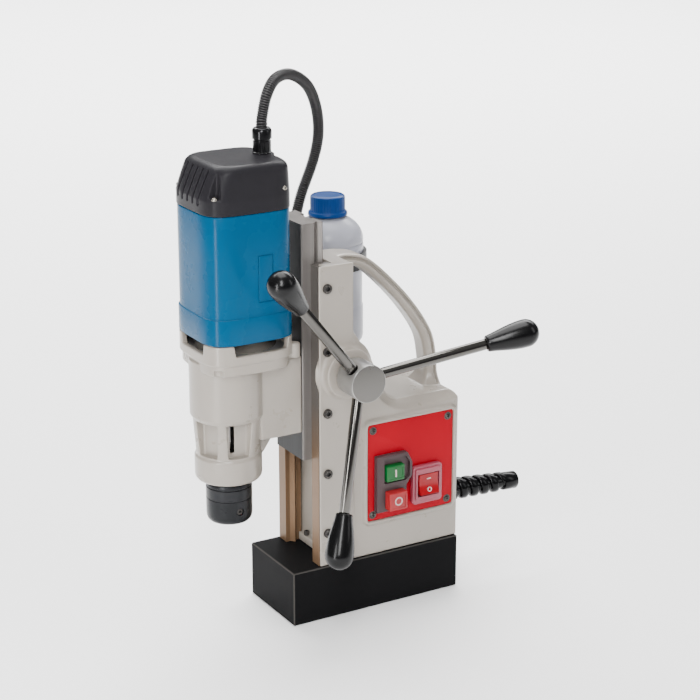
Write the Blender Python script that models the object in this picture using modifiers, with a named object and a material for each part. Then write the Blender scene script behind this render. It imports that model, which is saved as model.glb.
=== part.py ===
"""A magnetic drill press: an electromagnet base, a cast stand with a slide, and a motor that turns a spindle.

Metres, +Z up. The origin is the centre of the magnet's underside. -X is the drill's side, +X the handle's,
-Y the operator's side with the switch panel and the feed handles. Every object is one separate sub-part.
"""

import math

import bmesh
import bpy
from mathutils import Matrix, Vector

GAP = 0.0003  # between neighbouring pieces that are fixed to each other
RUNNING_GAP = 0.0004  # between pieces that turn or slide in each other
OVERLAP = 0.002  # how far a cutter passes a face, or a joined shape goes into its neighbour

# Electromagnet
MAGNET_LENGTH = 0.170
MAGNET_WIDTH = 0.080
MAGNET_HEIGHT = 0.050
POLE_LENGTH = 0.118
POLE_WIDTH = 0.030
COIL_SLOT_WIDTH = 0.012
COIL_SLOT_DEPTH = 0.036
SEAL_DEPTH = 0.005
MAGNET_EDGE = 0.001

# Cast stand: a column with a slide channel, and a hollow body behind it
STAND_WIDTH = 0.076
COLUMN_FRONT = -0.0575
COLUMN_REAR = -0.024
COLUMN_HEIGHT = 0.273
BODY_HEIGHT = 0.140
BODY_WALL = 0.004
BODY_RIM_HEIGHT = 0.0025
CHANNEL_BACK = -0.040
CHANNEL_BACK_WALL = 0.006
FOOT_LUG_HEIGHT = 0.008
HANDLE_WIDTH = 0.024
HANDLE_THICKNESS = 0.011
HANDLE_PEAK = 0.0095  # the handle's middle line below the column's top
HANDLE_POINTS = 15
HANDLE_EDGE = 0.0030
HANDLE_FLARE = 0.0060  # how much thicker the grip's inner side gets where it meets the body
HANDLE_FLARE_HEIGHT = 0.012

# Slide, gibs and rack
SLIDE_FRONT = -0.066
SLIDE_REAR = -0.0455
SLIDE_HALF_WIDTH = 0.024
SLIDE_LENGTH = 0.210
SLIDE_BOTTOM = 0.147
GROOVE_X = -0.0500
GROOVE_OPENING = 0.0076
GROOVE_DEPTH = 0.004
GIB_THICKNESS = 0.0055
GIB_LIP = 0.0035
GIB_LIP_WIDTH = 0.012
GIB_SCREW_COUNT = 5
GIB_SCREW_FIRST = 0.031  # above the magnet
GIB_SCREW_LAST = 0.020  # below the column's top
GIB_SCREW_RADIUS = 0.0042
GIB_SCREW_STAND_OUT = 0.0028
RACK_MODULE = 0.0015
RACK_HALF_WIDTH = 0.008
RACK_BACKING = 0.0035

# Feed shaft, hub and handles
FEED_Z = 0.227
PINION_TEETH = 16
PRESSURE_ANGLE = math.radians(25)
ADDENDUM = 0.74
DEDENDUM = 1.2
BACKLASH = 0.0004
FEED_SHAFT_RADIUS = 0.0065
BUSH_RADIUS = 0.0092
BOSS_RADIUS = 0.022
BOSS_HEIGHT = 0.009
HUB_RADIUS = 0.0165
HUB_LENGTH = 0.030
HUB_FACE = 0.006
SPOKE_RADIUS = 0.00475
SPOKE_START = 0.0105
SPOKE_LENGTH = 0.110
SPOKE_LEAN = math.radians(16)
SPOKE_ANGLES = [math.radians(12), math.radians(132), math.radians(252)]
KNOB_START = 0.1135
KNOB_SMALL_RADIUS = 0.0072
KNOB_BALL_RADIUS = 0.0122
KNOB_BALL_CENTRE = 0.1488

# Spindle, gears and gearbox
SPINDLE_X = -0.126
MOTOR_X = -0.117
ARBOR_BOTTOM = 0.098
ARBOR_RADIUS = 0.020
ARBOR_LENGTH = 0.0387
ARBOR_BORE = 0.009525
ARBOR_BORE_DEPTH = 0.050
ARBOR_NECK_RADIUS = 0.0127
ARBOR_SCREW_Z = 0.110
ARBOR_SCREW_ANGLES = [math.radians(-88)]
NOSE_BOTTOM = 0.137
NOSE_RADIUS = 0.029
NOSE_HEIGHT = 0.023
CONE_RADIUS = 0.031
CONE_HEIGHT = 0.035
BARREL_RADIUS = 0.032
BARREL_HEIGHT = 0.0445
FLANGE_HEIGHT = 0.027
MOTOR_SIDE = 0.0818  # across the middle of its bulged faces
MOTOR_SQUARENESS = 4.2
MOTOR_OUTLINE_STEPS = 36
WINDOW_COUNT = 6
WINDOW_RIB = 0.008
CONE_WALL = 0.0035
SLEEVE_RADIUS = 0.0225
SPINDLE_BORE = 0.0183
SPINDLE_RADIUS = 0.010
SPINDLE_TOP_RADIUS = 0.007
BEARING_HEIGHT = 0.011
FIRST_MODULE = 0.001
FIRST_PINION_TEETH = 9
FIRST_GEAR_TEETH = 27
SECOND_MODULE = 0.00125
SECOND_PINION_TEETH = 10
SECOND_GEAR_TEETH = 28
FIRST_GEAR_WIDTH = 0.006
SECOND_GEAR_WIDTH = 0.008
LAYSHAFT_RADIUS = 0.004
BRACKET_HALF_WIDTH = 0.024
BRACKET_BOTTOM = 0.173
FLANGE_WINDOW = 0.0095

# Motor
MOTOR_HEIGHT = 0.1089
MOTOR_WALL = 0.0028
BAND_HEIGHT = 0.0225
BAND_STEP = 0.001
STATOR_RADIUS = 0.0355
STATOR_BORE = 0.0213
STATOR_HEIGHT = 0.050
ARMATURE_RADIUS = 0.0205
MOTOR_SHAFT_RADIUS = 0.0038
COMMUTATOR_RADIUS = 0.0115
COMMUTATOR_HEIGHT = 0.013
FAN_RADIUS = 0.029
FAN_HEIGHT = 0.0065
FAN_BLADES = 9
CAP_HEIGHT = 0.0406
CAP_WALL = 0.003
CAP_SLOPE = 0.009
CAP_ROUND = 0.010
CAP_SCREW_DEPTH = 0.026
CAP_RECESS_RADIUS = 0.0055
CAP_CORNER_INSET = 0.0062
GLAND_X = -0.088
GLAND_Y = 0.002
GLAND_RADIUS = 0.0083
GLAND_HEIGHT = 0.021

# Conduit from the motor cap to the stand, and its elbow
CONDUIT_RADIUS = 0.005
CONDUIT_BORE_GAP = 0.0003
ELBOW_RADIUS = 0.0072
ELBOW_X = -0.031
ELBOW_OUT = 0.0105
ELBOW_TOP = 0.184
ELBOW_Z = 0.168
CONDUIT_ROUTE = [
    (-0.0880, 0.0020, 0.4373),
    (-0.0874, 0.0023, 0.4450),
    (-0.0815, 0.0045, 0.4630),
    (-0.0692, 0.0120, 0.4737),
    (-0.0497, 0.0220, 0.4742),
    (-0.0280, 0.0328, 0.4615),
    (-0.0148, 0.0410, 0.4405),
    (-0.0102, 0.0454, 0.4160),
    (-0.0140, 0.0482, 0.3920),
    (-0.0260, 0.0500, 0.3600),
    (-0.0330, 0.0500, 0.3300),
    (-0.0365, 0.0495, 0.2900),
    (-0.0365, 0.0490, 0.2450),
    (-0.0330, 0.0487, 0.2080),
    (-0.0310, 0.0485, 0.1843),
]
CONDUIT_POINTS = 34

# Switch panel
PANEL_X = 0.0337
PANEL_Z = 0.1284
PANEL_LENGTH = 0.0885
PANEL_HEIGHT = 0.0900
PANEL_THICKNESS = 0.0015
PANEL_SCREW_INSET = 0.0055
PANEL_SCREW_RADIUS = 0.0021
WINDOW_MARGIN = 0.009
BEZEL_OUT = 0.0065
SWITCH_X = 0.0135
START_Z = 0.1277
STOP_Z = 0.1030
BUTTON_WIDTH = 0.0182
START_HEIGHT = 0.0146
STOP_HEIGHT = 0.0170
START_OUT = 0.0090
STOP_OUT = 0.0140
BUTTON_TRAVEL = 0.003
BUTTON_TAIL = 0.006
ROCKER_X = 0.0490
ROCKER_Z = 0.1094
ROCKER_BEZEL_LENGTH = 0.0308
ROCKER_BEZEL_HEIGHT = 0.0360
ROCKER_WIDTH = 0.0200
ROCKER_HEIGHT = 0.0192
ROCKER_OUT = 0.0060
ROCKER_TILT = math.radians(8)
ROCKER_ROOM = 0.0012
SWITCH_BODY_DEPTH = 0.018
BOARD_LENGTH = 0.062
BOARD_HEIGHT = 0.078
BOARD_THICKNESS = 0.0016
BOARD_Y = 0.012
PILLAR_RADIUS = 0.0035

# Strain relief of the mains lead
RELIEF_Y = -0.010
RELIEF_Z = 0.083
RELIEF_DROOP = math.radians(4)
RELIEF_LENGTH = 0.084
RELIEF_ROOT_RADIUS = 0.0104
RELIEF_TIP_RADIUS = 0.0083
RELIEF_TIP_LENGTH = 0.015
RELIEF_RINGS = 7
RELIEF_RING_DEPTH = 0.0026
RELIEF_NECK_RADIUS = 0.007
RELIEF_NUT_RADIUS = 0.0115
RELIEF_NUT_LENGTH = 0.005
CORD_BORE = 0.0045
CORD_BORE_DEPTH = 0.030

# Coolant bottle
BOTTLE_X = 0.013
BOTTLE_BOTTOM = 0.218
BOTTLE_RADIUS = 0.032
BOTTLE_HEIGHT = 0.118
BOTTLE_WALL = 0.0015
BOTTLE_NECK_RADIUS = 0.012
BOTTLE_NECK_HEIGHT = 0.013
CAP_RADIUS = 0.01575
CAP_SKIRT_RADIUS = 0.01775
BOTTLE_CAP_HEIGHT = 0.018
STRAP_BELOW_TOP = 0.0265  # the strap's middle below the column's top
STRAP_HEIGHT = 0.014
STRAP_THICKNESS = 0.0028
STRAP_PLATE_THICKNESS = 0.003
STRAP_PLATE_WIDTH = 0.024

# Worked out from the sizes above
STAND_SIDE = STAND_WIDTH / 2
COLUMN_TOP = MAGNET_HEIGHT + COLUMN_HEIGHT
BODY_TOP = MAGNET_HEIGHT + BODY_HEIGHT
BODY_REAR = MAGNET_LENGTH / 2
GIB_SCREW_PITCH = (COLUMN_HEIGHT - GIB_SCREW_FIRST - GIB_SCREW_LAST) / (GIB_SCREW_COUNT - 1)
STRAP_Z = COLUMN_TOP - STRAP_BELOW_TOP
BOTTLE_Y = STAND_SIDE + BOTTLE_RADIUS + GAP
PINION_RADIUS = PINION_TEETH * RACK_MODULE / 2
RACK_PITCH_X = SLIDE_REAR + RACK_MODULE
FEED_X = RACK_PITCH_X + PINION_RADIUS
GIB_REAR = FEED_X - BUSH_RADIUS - 2 * GAP
NOSE_TOP = NOSE_BOTTOM + NOSE_HEIGHT
CONE_TOP = NOSE_TOP + CONE_HEIGHT
FLANGE_BOTTOM = CONE_TOP + BARREL_HEIGHT
FLANGE_TOP = FLANGE_BOTTOM + FLANGE_HEIGHT
MOTOR_BOTTOM = FLANGE_TOP + GAP
MOTOR_TOP = MOTOR_BOTTOM + MOTOR_HEIGHT
CAP_BOTTOM = MOTOR_TOP + GAP
CAP_TOP = CAP_BOTTOM + CAP_HEIGHT
PLATE_BOTTOM = FLANGE_BOTTOM + 0.0130  # the bearing plate that closes the gearbox
PLATE_THICKNESS = 0.0040
FIRST_GEAR_TOP = PLATE_BOTTOM - 0.0020
FIRST_GEAR_BOTTOM = FIRST_GEAR_TOP - FIRST_GEAR_WIDTH
SECOND_GEAR_TOP = FIRST_GEAR_BOTTOM - 0.0015
SECOND_GEAR_BOTTOM = SECOND_GEAR_TOP - SECOND_GEAR_WIDTH
FIRST_DISTANCE = FIRST_MODULE * (FIRST_PINION_TEETH + FIRST_GEAR_TEETH) / 2
SECOND_DISTANCE = SECOND_MODULE * (SECOND_PINION_TEETH + SECOND_GEAR_TEETH) / 2
AXIS_OFFSET = MOTOR_X - SPINDLE_X
LAYSHAFT_X = MOTOR_X + (SECOND_DISTANCE**2 - FIRST_DISTANCE**2 - AXIS_OFFSET**2) / (2 * AXIS_OFFSET)
LAYSHAFT_Y = math.sqrt(FIRST_DISTANCE**2 - (LAYSHAFT_X - MOTOR_X) ** 2)
PANEL_FRONT = -STAND_SIDE - GAP - PANEL_THICKNESS

FULL_TURN = 2 * math.pi


def clear_scene():
    for obj in list(bpy.data.objects):
        bpy.data.objects.remove(obj, do_unlink=True)


def new_collection(name):
    collection = bpy.data.collections.new(name)
    bpy.context.scene.collection.children.link(collection)
    return collection


def material(name, colour, roughness, metallic=0.0, alpha=1.0):
    made = bpy.data.materials.new(name)
    made.use_nodes = True
    shader = made.node_tree.nodes["Principled BSDF"]
    shader.inputs["Base Color"].default_value = (*colour, 1.0)
    shader.inputs["Roughness"].default_value = roughness
    shader.inputs["Metallic"].default_value = metallic
    shader.inputs["Alpha"].default_value = alpha
    return made


clear_scene()
PARTS = new_collection("magnetic_drill_press")
CUTTERS = new_collection("cutters")
CAST = material("cast_paint", (0.55, 0.51, 0.46), 0.45)
BLUE = material("blue_plastic", (0.01, 0.19, 0.36), 0.35)
BLACK = material("black_plastic", (0.03, 0.03, 0.03), 0.45)
STEEL = material("machined_steel", (0.45, 0.44, 0.42), 0.35, 1.0)
CHROME = material("chrome", (0.70, 0.70, 0.70), 0.12, 1.0)
BRASS = material("gib_brass", (0.62, 0.42, 0.22), 0.40, 1.0)
MAGNET = material("magnet_black", (0.02, 0.02, 0.02), 0.55)
COPPER = material("copper_winding", (0.60, 0.25, 0.10), 0.40, 1.0)
EPOXY = material("epoxy", (0.04, 0.03, 0.02), 0.50)
RED = material("red_panel", (0.60, 0.02, 0.03), 0.40)
GREEN = material("green_button", (0.05, 0.35, 0.12), 0.30)
CLEAR_BLUE = material("bottle_cap_blue", (0.01, 0.12, 0.40), 0.40)
MILKY = material("milky_bottle", (0.60, 0.60, 0.62), 0.35, 0.0, 0.7)
ALUMINIUM = material("satin_aluminium", (0.50, 0.50, 0.50), 0.35, 1.0)


def place(obj, finish, collection=PARTS):
    """Links a new object and gives it its finish."""
    collection.objects.link(obj)
    obj.data.materials.clear()
    obj.data.materials.append(finish)
    return obj


def smooth(obj, degrees=35):
    obj.data.shade_smooth()
    obj.data.set_sharp_from_angle(angle=math.radians(degrees))
    return obj


def block(name, low, high, finish=STEEL):
    """A box between two corners."""
    shape = bmesh.new()
    bmesh.ops.create_cube(shape, size=1.0)
    size = Vector(high) - Vector(low)
    middle = (Vector(high) + Vector(low)) / 2
    bmesh.ops.transform(shape, matrix=Matrix.Diagonal((*size, 1.0)), verts=shape.verts)
    mesh = bpy.data.meshes.new(name)
    shape.to_mesh(mesh)
    shape.free()
    obj = bpy.data.objects.new(name, mesh)
    obj.location = middle
    return place(obj, finish)


def rod(name, radius, start, end, finish=STEEL, sides=24, end_radius=None, twist=0.0):
    """A cylinder or a cone between two points."""
    start, end = Vector(start), Vector(end)
    shape = bmesh.new()
    last = radius if end_radius is None else end_radius
    bmesh.ops.create_cone(
        shape, cap_ends=True, segments=sides, radius1=radius, radius2=last, depth=(end - start).length
    )
    bmesh.ops.rotate(shape, cent=(0, 0, 0), matrix=Matrix.Rotation(twist, 3, "Z"), verts=shape.verts)
    mesh = bpy.data.meshes.new(name)
    shape.to_mesh(mesh)
    shape.free()
    obj = bpy.data.objects.new(name, mesh)
    obj.location = (start + end) / 2
    obj.rotation_mode = "QUATERNION"
    obj.rotation_quaternion = Vector((0, 0, 1)).rotation_difference(end - start)
    return smooth(place(obj, finish))


def turned(name, profile, base, finish=STEEL, axis=(0, 0, 1), steps=32, ring=False):
    """A profile of (radius, height) points turned about an axis, listed down its outer side."""
    mesh = bpy.data.meshes.new(name)
    edges = [(i, i + 1) for i in range(len(profile) - 1)]
    if ring:
        edges.append((len(profile) - 1, 0))
    mesh.from_pydata([(radius, 0.0, height) for radius, height in profile], edges, [])
    obj = bpy.data.objects.new(name, mesh)
    obj.location = base
    obj.rotation_mode = "QUATERNION"
    obj.rotation_quaternion = Vector((0, 0, 1)).rotation_difference(Vector(axis))
    turn = obj.modifiers.new("turn", "SCREW")
    turn.steps = steps
    turn.render_steps = steps
    turn.use_merge_vertices = True
    turn.merge_threshold = 0.00001
    turn.use_smooth_shade = False
    return place(obj, finish)


def ring(name, inner, outer, low, high, centre, finish=STEEL, axis=(0, 0, 1), steps=24):
    profile = [(outer, high), (outer, low), (inner, low), (inner, high)]
    return turned(name, profile, centre, finish, axis, steps, ring=True)


def rounded(corners, arc_steps=4):
    """An outline through (across, up, radius) corners, each rounded by its radius."""
    points = []
    count = len(corners)
    for i, (across, up, radius) in enumerate(corners):
        here = Vector((across, up))
        if radius <= 0:
            points.append(tuple(here))
            continue
        before = Vector(corners[i - 1][:2]) - here
        after = Vector(corners[(i + 1) % count][:2]) - here
        half = before.angle(after) / 2
        reach = radius / math.tan(half)
        start = here + before.normalized() * reach
        centre = here + (before.normalized() + after.normalized()).normalized() * radius / math.sin(half)
        sweep = (start - centre).angle_signed(here + after.normalized() * reach - centre)
        for step in range(arc_steps + 1):
            turn = Matrix.Rotation(-sweep * step / arc_steps, 2)
            points.append(tuple(centre + turn @ (start - centre)))
    return points


def as_mesh(obj):
    """The mesh object that a curve evaluates to, with its caps welded. The curve is removed."""
    bpy.context.view_layer.update()
    graph = bpy.context.evaluated_depsgraph_get()
    mesh = bpy.data.meshes.new_from_object(obj.evaluated_get(graph))
    made = bpy.data.objects.new(obj.name + "_mesh", mesh)
    made.matrix_world = obj.matrix_world
    finish = obj.data.materials[0]
    name = obj.name
    bpy.data.objects.remove(obj, do_unlink=True)
    made.name = name
    shape = bmesh.new()
    shape.from_mesh(mesh)
    bmesh.ops.remove_doubles(shape, verts=shape.verts, dist=0.000002)
    bmesh.ops.recalc_face_normals(shape, faces=shape.faces)
    shape.to_mesh(mesh)
    shape.free()
    return place(made, finish)


PLANES = {
    "XY": Matrix.Identity(4),
    "XZ": Matrix.Rotation(math.pi / 2, 4, "X"),
    "YZ": Matrix.Rotation(math.pi / 2, 4, "Z") @ Matrix.Rotation(math.pi / 2, 4, "X"),
}


def extruded(name, outlines, plane, low, high, finish=STEEL, edge=0.0):
    """Flat outlines in a plane, the first outside and the rest its holes, extruded between two distances.
    The XZ plane is extruded along Y, YZ along X and XY along Z. edge rounds the outline's rims."""
    curve = bpy.data.curves.new(name, "CURVE")
    curve.dimensions = "2D"
    curve.fill_mode = "BOTH"
    curve.extrude = (high - low) / 2 - edge
    curve.bevel_depth = edge
    curve.bevel_resolution = 1
    curve.offset = -edge
    for outline in outlines:
        spline = curve.splines.new("POLY")
        spline.points.add(len(outline) - 1)
        for point, (across, up) in zip(spline.points, outline):
            point.co = (across, up, 0.0, 1.0)
        spline.use_cyclic_u = True
    obj = bpy.data.objects.new(name, curve)
    out = {"XY": Vector((0, 0, 1)), "XZ": Vector((0, 1, 0)), "YZ": Vector((1, 0, 0))}[plane]
    obj.matrix_world = Matrix.Translation(out * (low + high) / 2) @ PLANES[plane]
    return as_mesh(place(obj, finish))


def rectangle(low_across, low_up, high_across, high_up, radius=0.0, arc_steps=4):
    corners = [(low_across, low_up), (high_across, low_up), (high_across, high_up), (low_across, high_up)]
    return rounded([(across, up, radius) for across, up in corners], arc_steps)


def tube(name, points, radius, finish, resolution=2):
    """A round bar along a list of points."""
    curve = bpy.data.curves.new(name, "CURVE")
    curve.dimensions = "3D"
    curve.bevel_depth = radius
    curve.bevel_resolution = resolution
    curve.use_fill_caps = True
    curve.twist_mode = "MINIMUM"
    spline = curve.splines.new("POLY")
    spline.points.add(len(points) - 1)
    for point, place_here in zip(spline.points, points):
        point.co = (*place_here, 1.0)
    return place(bpy.data.objects.new(name, curve), finish)


def through(route, count):
    """Points at even steps of the parameter on a smooth curve through the route's points."""
    route = [Vector(point) for point in route]
    ends = [route[0] * 2 - route[1]] + route + [route[-1] * 2 - route[-2]]
    points = []
    for step in range(count):
        position = step * (len(route) - 1) / (count - 1)
        i = min(int(position), len(route) - 2)
        t = position - i
        a, b, c, d = ends[i : i + 4]
        points.append(
            0.5 * (2 * b + (c - a) * t + (2 * a - 5 * b + 4 * c - d) * t**2 + (3 * b - a - 3 * c + d) * t**3)
        )
    return points


def helper(obj):
    """Moves a shape among the cutters, where it isn't a sub-part."""
    PARTS.objects.unlink(obj)
    CUTTERS.objects.link(obj)
    obj.hide_render = True
    obj.display_type = "WIRE"
    return obj


def boolean(obj, other, operation):
    modifier = obj.modifiers.new(other.name, "BOOLEAN")
    modifier.operation = operation
    modifier.solver = "EXACT"
    modifier.object = helper(other)
    return obj


def cut(obj, *cutters):
    for cutter in cutters:
        boolean(obj, cutter, "DIFFERENCE")
    return obj


def join(obj, *others):
    for other in others:
        boolean(obj, other, "UNION")
    return obj


def polar(centre_x, centre_y, radius, angle):
    return (centre_x + radius * math.cos(angle), centre_y + radius * math.sin(angle))


def involute(angle):
    return math.tan(angle) - angle


def gear_outline(teeth, module, centre_x, centre_y, tooth_angle, flank_steps=1):
    """The outline of a spur gear with one tooth centred on tooth_angle."""
    pitch = teeth * module / 2
    tip = pitch + ADDENDUM * module
    root = pitch - DEDENDUM * module
    base = pitch * math.cos(PRESSURE_ANGLE)
    half_tooth = math.pi / (2 * teeth) - BACKLASH / (4 * pitch)
    first = max(base, root + (tip - root) * 0.15)
    flank = []
    for step in range(flank_steps + 1):
        radius = first + (tip - first) * step / flank_steps
        angle = half_tooth + involute(PRESSURE_ANGLE) - involute(math.acos(min(1.0, base / radius)))
        flank.append((radius, angle))
    flank.insert(0, (root, flank[0][1] + 0.1 / teeth))
    points = []
    for tooth in range(teeth):
        middle = tooth_angle + tooth * FULL_TURN / teeth
        points += [polar(centre_x, centre_y, radius, middle - angle) for radius, angle in flank]
        points += [polar(centre_x, centre_y, radius, middle + angle) for radius, angle in reversed(flank)]
    return points


def magnet():
    body = block(
        "magnet_body",
        (-MAGNET_LENGTH / 2, -MAGNET_WIDTH / 2, 0),
        (MAGNET_LENGTH / 2, MAGNET_WIDTH / 2, MAGNET_HEIGHT),
        MAGNET,
    )
    bevel = body.modifiers.new("edges", "BEVEL")
    bevel.width = MAGNET_EDGE
    bevel.segments = 1

    def slot(name, low, high, clearance, finish):
        outer_x = POLE_LENGTH / 2 + COIL_SLOT_WIDTH - clearance
        outer_y = POLE_WIDTH / 2 + COIL_SLOT_WIDTH - clearance
        inner_x = POLE_LENGTH / 2 + clearance
        inner_y = POLE_WIDTH / 2 + clearance
        outer = rectangle(-outer_x, -outer_y, outer_x, outer_y)
        inner = rectangle(-inner_x, -inner_y, inner_x, inner_y)
        return extruded(name, [outer, inner], "XY", low, high, finish)

    cut(body, slot("coil_slot", -OVERLAP, COIL_SLOT_DEPTH, 0.0, MAGNET))
    slot("coil_seal", GAP, SEAL_DEPTH, GAP, EPOXY)
    slot("magnet_coil", SEAL_DEPTH + GAP, COIL_SLOT_DEPTH - GAP, 2 * GAP, COPPER)


def stand_outline():
    deck_start = 0.016
    return rounded(
        [
            (COLUMN_FRONT, MAGNET_HEIGHT + GAP, 0),
            (BODY_REAR, MAGNET_HEIGHT + GAP, 0),
            (BODY_REAR, BODY_TOP, 0.009),
            (deck_start, BODY_TOP, 0.012),
            (FEED_X + BOSS_RADIUS + 0.002, FEED_Z + 0.011, 0.020),
            (COLUMN_REAR, FEED_Z + 0.035, 0.010),
            (COLUMN_REAR, COLUMN_TOP - 0.001, 0.002),
            (COLUMN_FRONT, COLUMN_TOP, 0.001),
        ]
    )


def handle_points():
    """The middle line of the hand grip, from the column's top down to the body's rear."""
    peak = COLUMN_TOP - HANDLE_PEAK
    drop = peak - BODY_TOP
    rear = BODY_REAR - 0.0105
    reach = rear - COLUMN_REAR
    route = [
        (COLUMN_REAR - 0.004, 0, peak + 0.0030),
        (COLUMN_REAR + reach * 0.10, 0, peak + 0.0030),
        (COLUMN_REAR + reach * 0.28, 0, peak - drop * 0.02),
        (COLUMN_REAR + reach * 0.50, 0, peak - drop * 0.17),
        (COLUMN_REAR + reach * 0.74, 0, peak - drop * 0.38),
        (COLUMN_REAR + reach * 0.93, 0, peak - drop * 0.61),
        (rear - 0.0012, 0, peak - drop * 0.80),
        (rear - 0.0004, 0, peak - drop * 0.93),
        (rear, 0, BODY_TOP - 0.003),
    ]
    return through(route, HANDLE_POINTS)


def grip_outline():
    """The hand grip from the side: its middle line set off to both sides, with a flared root."""
    middle = handle_points()
    outer, inner = [], []
    for number, point in enumerate(middle):
        before = middle[max(number - 1, 0)]
        after = middle[min(number + 1, len(middle) - 1)]
        along = (after - before).normalized()
        low = max(0.0, (BODY_TOP + HANDLE_FLARE_HEIGHT - point.z) / HANDLE_FLARE_HEIGHT)
        inner_half = HANDLE_THICKNESS / 2 + HANDLE_FLARE * min(1.0, low) ** 2
        outer.append((point.x + along.z * -HANDLE_THICKNESS / 2, point.z + along.x * HANDLE_THICKNESS / 2))
        inner.append((point.x + along.z * inner_half, point.z - along.x * inner_half))
    return outer + inner[::-1]


def stand():
    casting = extruded("stand_casting", [stand_outline()], "XZ", -STAND_SIDE, STAND_SIDE, CAST, 0.0015)
    half_width = HANDLE_WIDTH / 2
    grip = extruded("grip", [grip_outline()], "XZ", -half_width, half_width, CAST, HANDLE_EDGE)
    boss_front = -STAND_SIDE - BOSS_HEIGHT
    boss = rod(
        "feed_boss",
        BOSS_RADIUS,
        (FEED_X, -STAND_SIDE + 2 * BODY_RIM_HEIGHT, FEED_Z),
        (FEED_X, boss_front, FEED_Z),
        CAST,
        36,
    )
    rim_frame = extruded(
        "panel_rim",
        [
            rectangle(
                PANEL_X - PANEL_LENGTH / 2 - 0.003,
                PANEL_Z - PANEL_HEIGHT / 2 - 0.003,
                PANEL_X + PANEL_LENGTH / 2 + 0.003,
                PANEL_Z + PANEL_HEIGHT / 2 + 0.003,
                0.008,
            )
        ],
        "XZ",
        -STAND_SIDE - BODY_RIM_HEIGHT,
        -STAND_SIDE + 0.002,
        CAST,
    )
    join(casting, grip, boss, rim_frame)

    half_length, half_height = PANEL_LENGTH / 2, PANEL_HEIGHT / 2
    window_half_length, window_half_height = half_length - WINDOW_MARGIN, half_height - WINDOW_MARGIN
    panel_seat = block(
        "panel_seat",
        (PANEL_X - half_length - GAP, -STAND_SIDE - BODY_RIM_HEIGHT - OVERLAP, PANEL_Z - half_height - GAP),
        (PANEL_X + half_length + GAP, -STAND_SIDE, PANEL_Z + half_height + GAP),
    )
    cavity = block(
        "body_cavity",
        (CHANNEL_BACK + CHANNEL_BACK_WALL, -STAND_SIDE + BODY_WALL, MAGNET_HEIGHT + BODY_WALL),
        (BODY_REAR - BODY_WALL, STAND_SIDE - BODY_WALL, BODY_TOP - BODY_WALL - 0.001),
    )
    window = block(
        "panel_window",
        (PANEL_X - window_half_length, -STAND_SIDE - OVERLAP, PANEL_Z - window_half_height),
        (PANEL_X + window_half_length, -STAND_SIDE + 2 * BODY_WALL, PANEL_Z + window_half_height),
    )
    gib_outer = SLIDE_HALF_WIDTH + RUNNING_GAP + GIB_THICKNESS + GAP
    channel = block(
        "slide_channel",
        (COLUMN_FRONT - OVERLAP, -gib_outer, MAGNET_HEIGHT - OVERLAP),
        (CHANNEL_BACK, gib_outer, COLUMN_TOP + OVERLAP),
    )
    lip_outer = SLIDE_HALF_WIDTH + RUNNING_GAP + GIB_LIP_WIDTH + GAP
    lip_seat = block(
        "lip_seat",
        (COLUMN_FRONT - OVERLAP, -lip_outer, MAGNET_HEIGHT - OVERLAP),
        (COLUMN_FRONT + GIB_LIP + GAP, lip_outer, COLUMN_TOP + OVERLAP),
    )
    pinion_room = PINION_RADIUS + RACK_MODULE + 0.002
    pinion_pocket = rod(
        "pinion_pocket",
        pinion_room,
        (FEED_X, -RACK_HALF_WIDTH - 0.002, FEED_Z),
        (FEED_X, RACK_HALF_WIDTH + 0.002, FEED_Z),
        sides=32,
    )
    shaft_bore = rod(
        "shaft_bore",
        BUSH_RADIUS + GAP,
        (FEED_X, boss_front - OVERLAP, FEED_Z),
        (FEED_X, STAND_SIDE - 0.005, FEED_Z),
        sides=32,
    )
    relief_hole = rod(
        "relief_hole",
        RELIEF_NECK_RADIUS + GAP,
        (BODY_REAR - 3 * BODY_WALL, RELIEF_Y, RELIEF_Z),
        (BODY_REAR + OVERLAP, RELIEF_Y, RELIEF_Z),
        sides=24,
    )
    cut(casting, panel_seat, cavity, window, channel, lip_seat, pinion_pocket, shaft_bore, relief_hole)
    for number, height in enumerate(gib_screw_heights()):
        cut(
            casting,
            rod(
                f"gib_screw_hole_{number + 1}",
                0.0028,
                (GROOVE_X, -STAND_SIDE - OVERLAP, height),
                (GROOVE_X, -gib_outer + OVERLAP, height),
                sides=12,
            ),
        )
    lug = block(
        "foot_lug",
        (SLIDE_REAR + 0.0005, -gib_outer + 0.006, MAGNET_HEIGHT + GAP),
        (CHANNEL_BACK + 0.002, gib_outer - 0.006, MAGNET_HEIGHT + FOOT_LUG_HEIGHT),
        CAST,
    )
    join(casting, lug)
    for number, (across, up) in enumerate(board_holes()):
        pillar = rod(
            f"board_pillar_{number + 1}",
            PILLAR_RADIUS,
            (across, STAND_SIDE - BODY_WALL / 2, up),
            (across, BOARD_Y + BOARD_THICKNESS + GAP, up),
            CAST,
            12,
        )
        join(casting, pillar)
    elbow_hole = rod(
        "elbow_hole",
        0.005,
        (ELBOW_X, STAND_SIDE - 3 * BODY_WALL, ELBOW_Z),
        (ELBOW_X, STAND_SIDE + OVERLAP, ELBOW_Z),
        sides=16,
    )
    cut(casting, elbow_hole)
    for side, y in (("left", -1), ("right", 1)):
        head_low = MAGNET_HEIGHT + FOOT_LUG_HEIGHT + GAP
        bolt = turned(
            f"foot_bolt_{side}",
            [(0, 0.0040), (0.0021, 0.0040), (0.0024, 0.0036), (0.0024, 0), (0, 0)],
            (foot_bolt_x(), y * 0.013, head_low),
            STEEL,
            steps=16,
        )
        socket = rod(
            f"foot_bolt_socket_{side}",
            0.0014,
            (foot_bolt_x(), y * 0.013, head_low + 0.0020),
            (foot_bolt_x(), y * 0.013, head_low + 0.0060),
            sides=6,
        )
        cut(bolt, socket)


def foot_bolt_x():
    return (SLIDE_REAR + CHANNEL_BACK) / 2


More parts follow.
